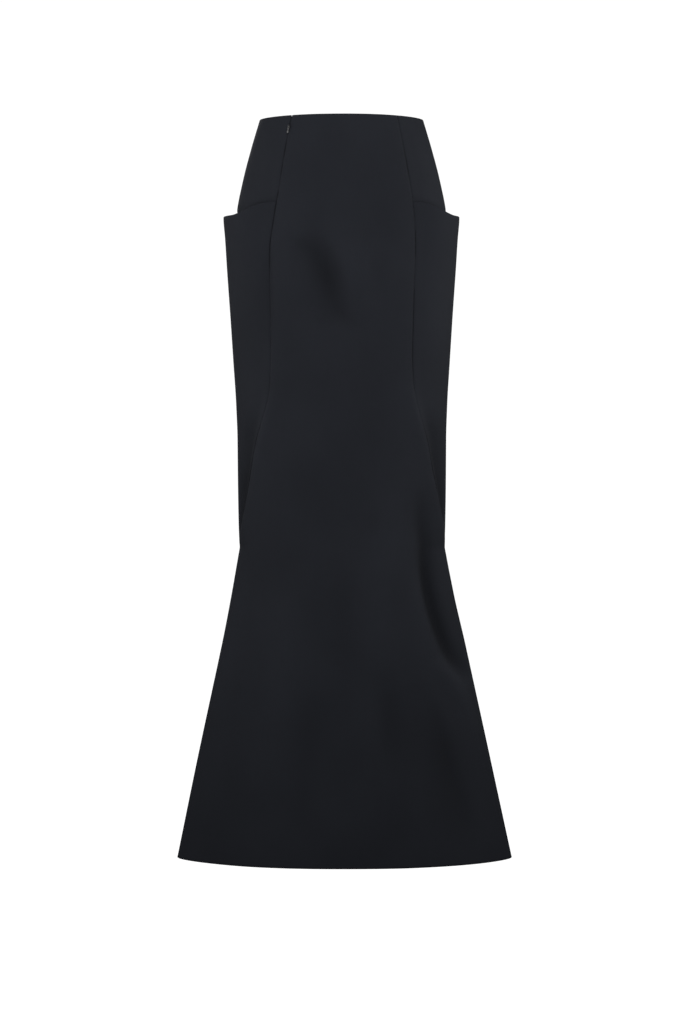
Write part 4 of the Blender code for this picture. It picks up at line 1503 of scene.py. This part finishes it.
class SKIRT_OT_hook_and_eye(bpy.types.Operator):
    """Make the wire hook and eye at the waist, and the thread that holds them"""

    bl_idname = "skirt.hook_and_eye"
    bl_label = "Hook and eye"

    def execute(self, context):
        axes = np.array(seam_frame(HOOK_DROP))
        nickel = nickel_material()
        level = HOOK_RADIUS - HOOK_DEPTH  # of the eye

        def placed(points):
            return np.array(points) @ axes[:3, :3].T + axes[:3, 3]

        def rings(places):
            turn = (RING, 0, RING_TURN, RING_STEPS)
            return [placed([(*point, z) for point in arc((x, y), *turn)]) for x, y, z in places]

        def both(end, place, z):
            way = math.copysign(1, end)
            return [(end + way * place[0], side * place[1], z) for side in (1, -1)]

        bend = arc((BAR_PLACE, level), HOOK_RADIUS, *HOOK_TURN, HOOK_STEPS)
        lines = []
        for half in (HOOK_HALF_WIDTH, -HOOK_HALF_WIDTH):
            reach = np.linspace(HOOK_REACH, HOOK_BEND, HOOK_POINTS)
            shank = [(x, half, -HOOK_DEPTH) for x in reach]
            lines.append(placed(shank + [(x, half * HOOK_NOSE, z) for x, z in bend]))
        lines += rings(both(HOOK_REACH, HOOK_RING, -HOOK_DEPTH))
        hook = strand("waist_hook_wire", lines, WIRE * HOOK_WIRE, nickel, 3)
        dress(hook, "skirt", ["waist_hook"])

        eye_rings = both(-HOOK_REACH, EYE_RING, level)
        half, corner = EYE_HALF_WIDTH, EYE_CORNER
        side = [(-HOOK_REACH, half), (-HOOK_REACH / 2, half)]
        side += arc((BAR_PLACE - corner, half - corner), corner, 90, 0, 8)
        loop = side + [(x, -y) for x, y in reversed(side)]
        lines = [placed([(x, y, level) for x, y in loop])] + rings(eye_rings)
        eye = strand("waist_eye_wire", lines, WIRE, nickel, 3)
        dress(eye, "skirt", ["waist_eye"])

        stitches = []
        for x, y, z in both(HOOK_REACH, HOOK_SEWN, -HOOK_DEPTH) + eye_rings:
            for number in range(STITCHES):
                turn = math.radians(STITCH_TURN * (number - STITCHES // 2))
                dx, dy = math.copysign(math.cos(turn), x), math.sin(turn)
                stitches.append(placed([(x + dx * r, y + dy * r, z + h) for r, h in STITCH]))
        looks = context.scene.column_skirt_zip
        thread = strand("hook_and_eye_thread", stitches, looks.thread, thread_material(), 1)
        dress(thread, "skirt", [])
        return {"FINISHED"}


class SKIRT_OT_stage(bpy.types.Operator):
    """Make the white surround, the floor, the soft lights and the camera"""

    bl_idname = "skirt.stage"
    bl_label = "Stage"

    def execute(self, context):
        looks = context.scene.column_skirt_stage
        context.scene.world = white_surround(looks.fill, looks.surround)
        context.scene.view_settings.view_transform = "Standard"

        mesh = bpy.data.meshes.new("studio_floor")
        shape = bmesh.new()
        bmesh.ops.create_grid(
            shape, x_segments=FLOOR_CELLS, y_segments=FLOOR_CELLS, size=FLOOR_SIZE
        )
        shape.to_mesh(mesh)
        shape.free()
        mesh.materials.append(floor_material())
        floor = linked("studio_floor", mesh)
        floor.location = (0, 0, -looks.floor_drop)
        floor.visible_diffuse = False
        floor.visible_glossy = False

        for lamp in LAMPS:
            soft_light(lamp, getattr(looks, lamp.power))

        camera = bpy.data.cameras.new("photo_camera")
        camera.sensor_width = SENSOR
        camera.lens = SENSOR * CAMERA_DISTANCE / PHOTO_SCALE / PHOTO_HEIGHT
        viewer = linked("photo_camera", camera)
        viewer.location = (CAMERA_X, -CAMERA_DISTANCE, CAMERA_Z)
        viewer.rotation_euler = (math.pi / 2, 0, 0)
        context.scene.camera = viewer
        return {"FINISHED"}


def white_surround(fill, surround):
    """A white world: one brightness lights the skirt, and a brighter one is seen behind it."""
    world = bpy.data.worlds.new("white_surround")
    world.use_nodes = True
    tree = world.node_tree
    rays = tree.nodes.new("ShaderNodeLightPath")
    either = tree.nodes.new("ShaderNodeMixShader")
    tree.links.new(rays.outputs["Is Camera Ray"], either.inputs[0])
    whites = ((tree.nodes["Background"], fill), (tree.nodes.new("ShaderNodeBackground"), surround))
    for slot, (white, strength) in enumerate(whites, 1):
        white.inputs["Color"].default_value = (1, 1, 1, 1)
        white.inputs["Strength"].default_value = strength
        tree.links.new(white.outputs[0], either.inputs[slot])
    tree.links.new(either.outputs[0], tree.nodes["World Output"].inputs["Surface"])
    return world


def soft_light(lamp, power):
    """A square light that shines from a lamp's place towards its aim."""
    square = bpy.data.lights.new(lamp.name, "AREA")
    square.shape = "SQUARE"
    square.size = lamp.size
    square.energy = power
    light = linked(lamp.name, square)
    light.location = lamp.place
    away = Vector(lamp.place) - Vector(lamp.aim)
    light.rotation_euler = away.to_track_quat("Z", "Y").to_euler()
    light.visible_camera = False


OPERATORS = (
    SKIRT_OT_stage,
    SKIRT_OT_front,
    SKIRT_OT_back,
    SKIRT_OT_yokes,
    SKIRT_OT_side_panels,
    SKIRT_OT_zip_tapes,
    SKIRT_OT_zip_coil,
    SKIRT_OT_slider,
    SKIRT_OT_pull,
    SKIRT_OT_hook_and_eye,
)


SETTINGS = {
    "column_skirt_cloth": ColumnSkirtCloth,
    "column_skirt_zip": ColumnSkirtZip,
    "column_skirt_stage": ColumnSkirtStage,
}


class SKIRT_PT_panel(bpy.types.Panel):
    """The skirt's settings, and the pieces to make"""

    bl_idname = "SKIRT_PT_panel"
    bl_label = "Column skirt"
    bl_space_type = "VIEW_3D"
    bl_region_type = "UI"
    bl_category = "Skirt"

    def draw(self, context):
        for setting, group in SETTINGS.items():
            box = self.layout.box()
            for key in group.__annotations__:
                box.prop(getattr(context.scene, setting), key)
        for operator in OPERATORS:
            self.layout.operator(operator.bl_idname)


def register():
    for setting, group in SETTINGS.items():
        bpy.utils.register_class(group)
        setattr(bpy.types.Scene, setting, PointerProperty(type=group))
    for operator in OPERATORS:
        bpy.utils.register_class(operator)
    bpy.utils.register_class(SKIRT_PT_panel)


def unregister():
    bpy.utils.unregister_class(SKIRT_PT_panel)
    for operator in reversed(OPERATORS):
        bpy.utils.unregister_class(operator)
    for setting, group in SETTINGS.items():
        delattr(bpy.types.Scene, setting)
        bpy.utils.unregister_class(group)


def main():
    register()
    for operator in OPERATORS:
        group, name = operator.bl_idname.split(".")
        getattr(getattr(bpy.ops, group), name)()


if __name__ == "__main__":
    main()
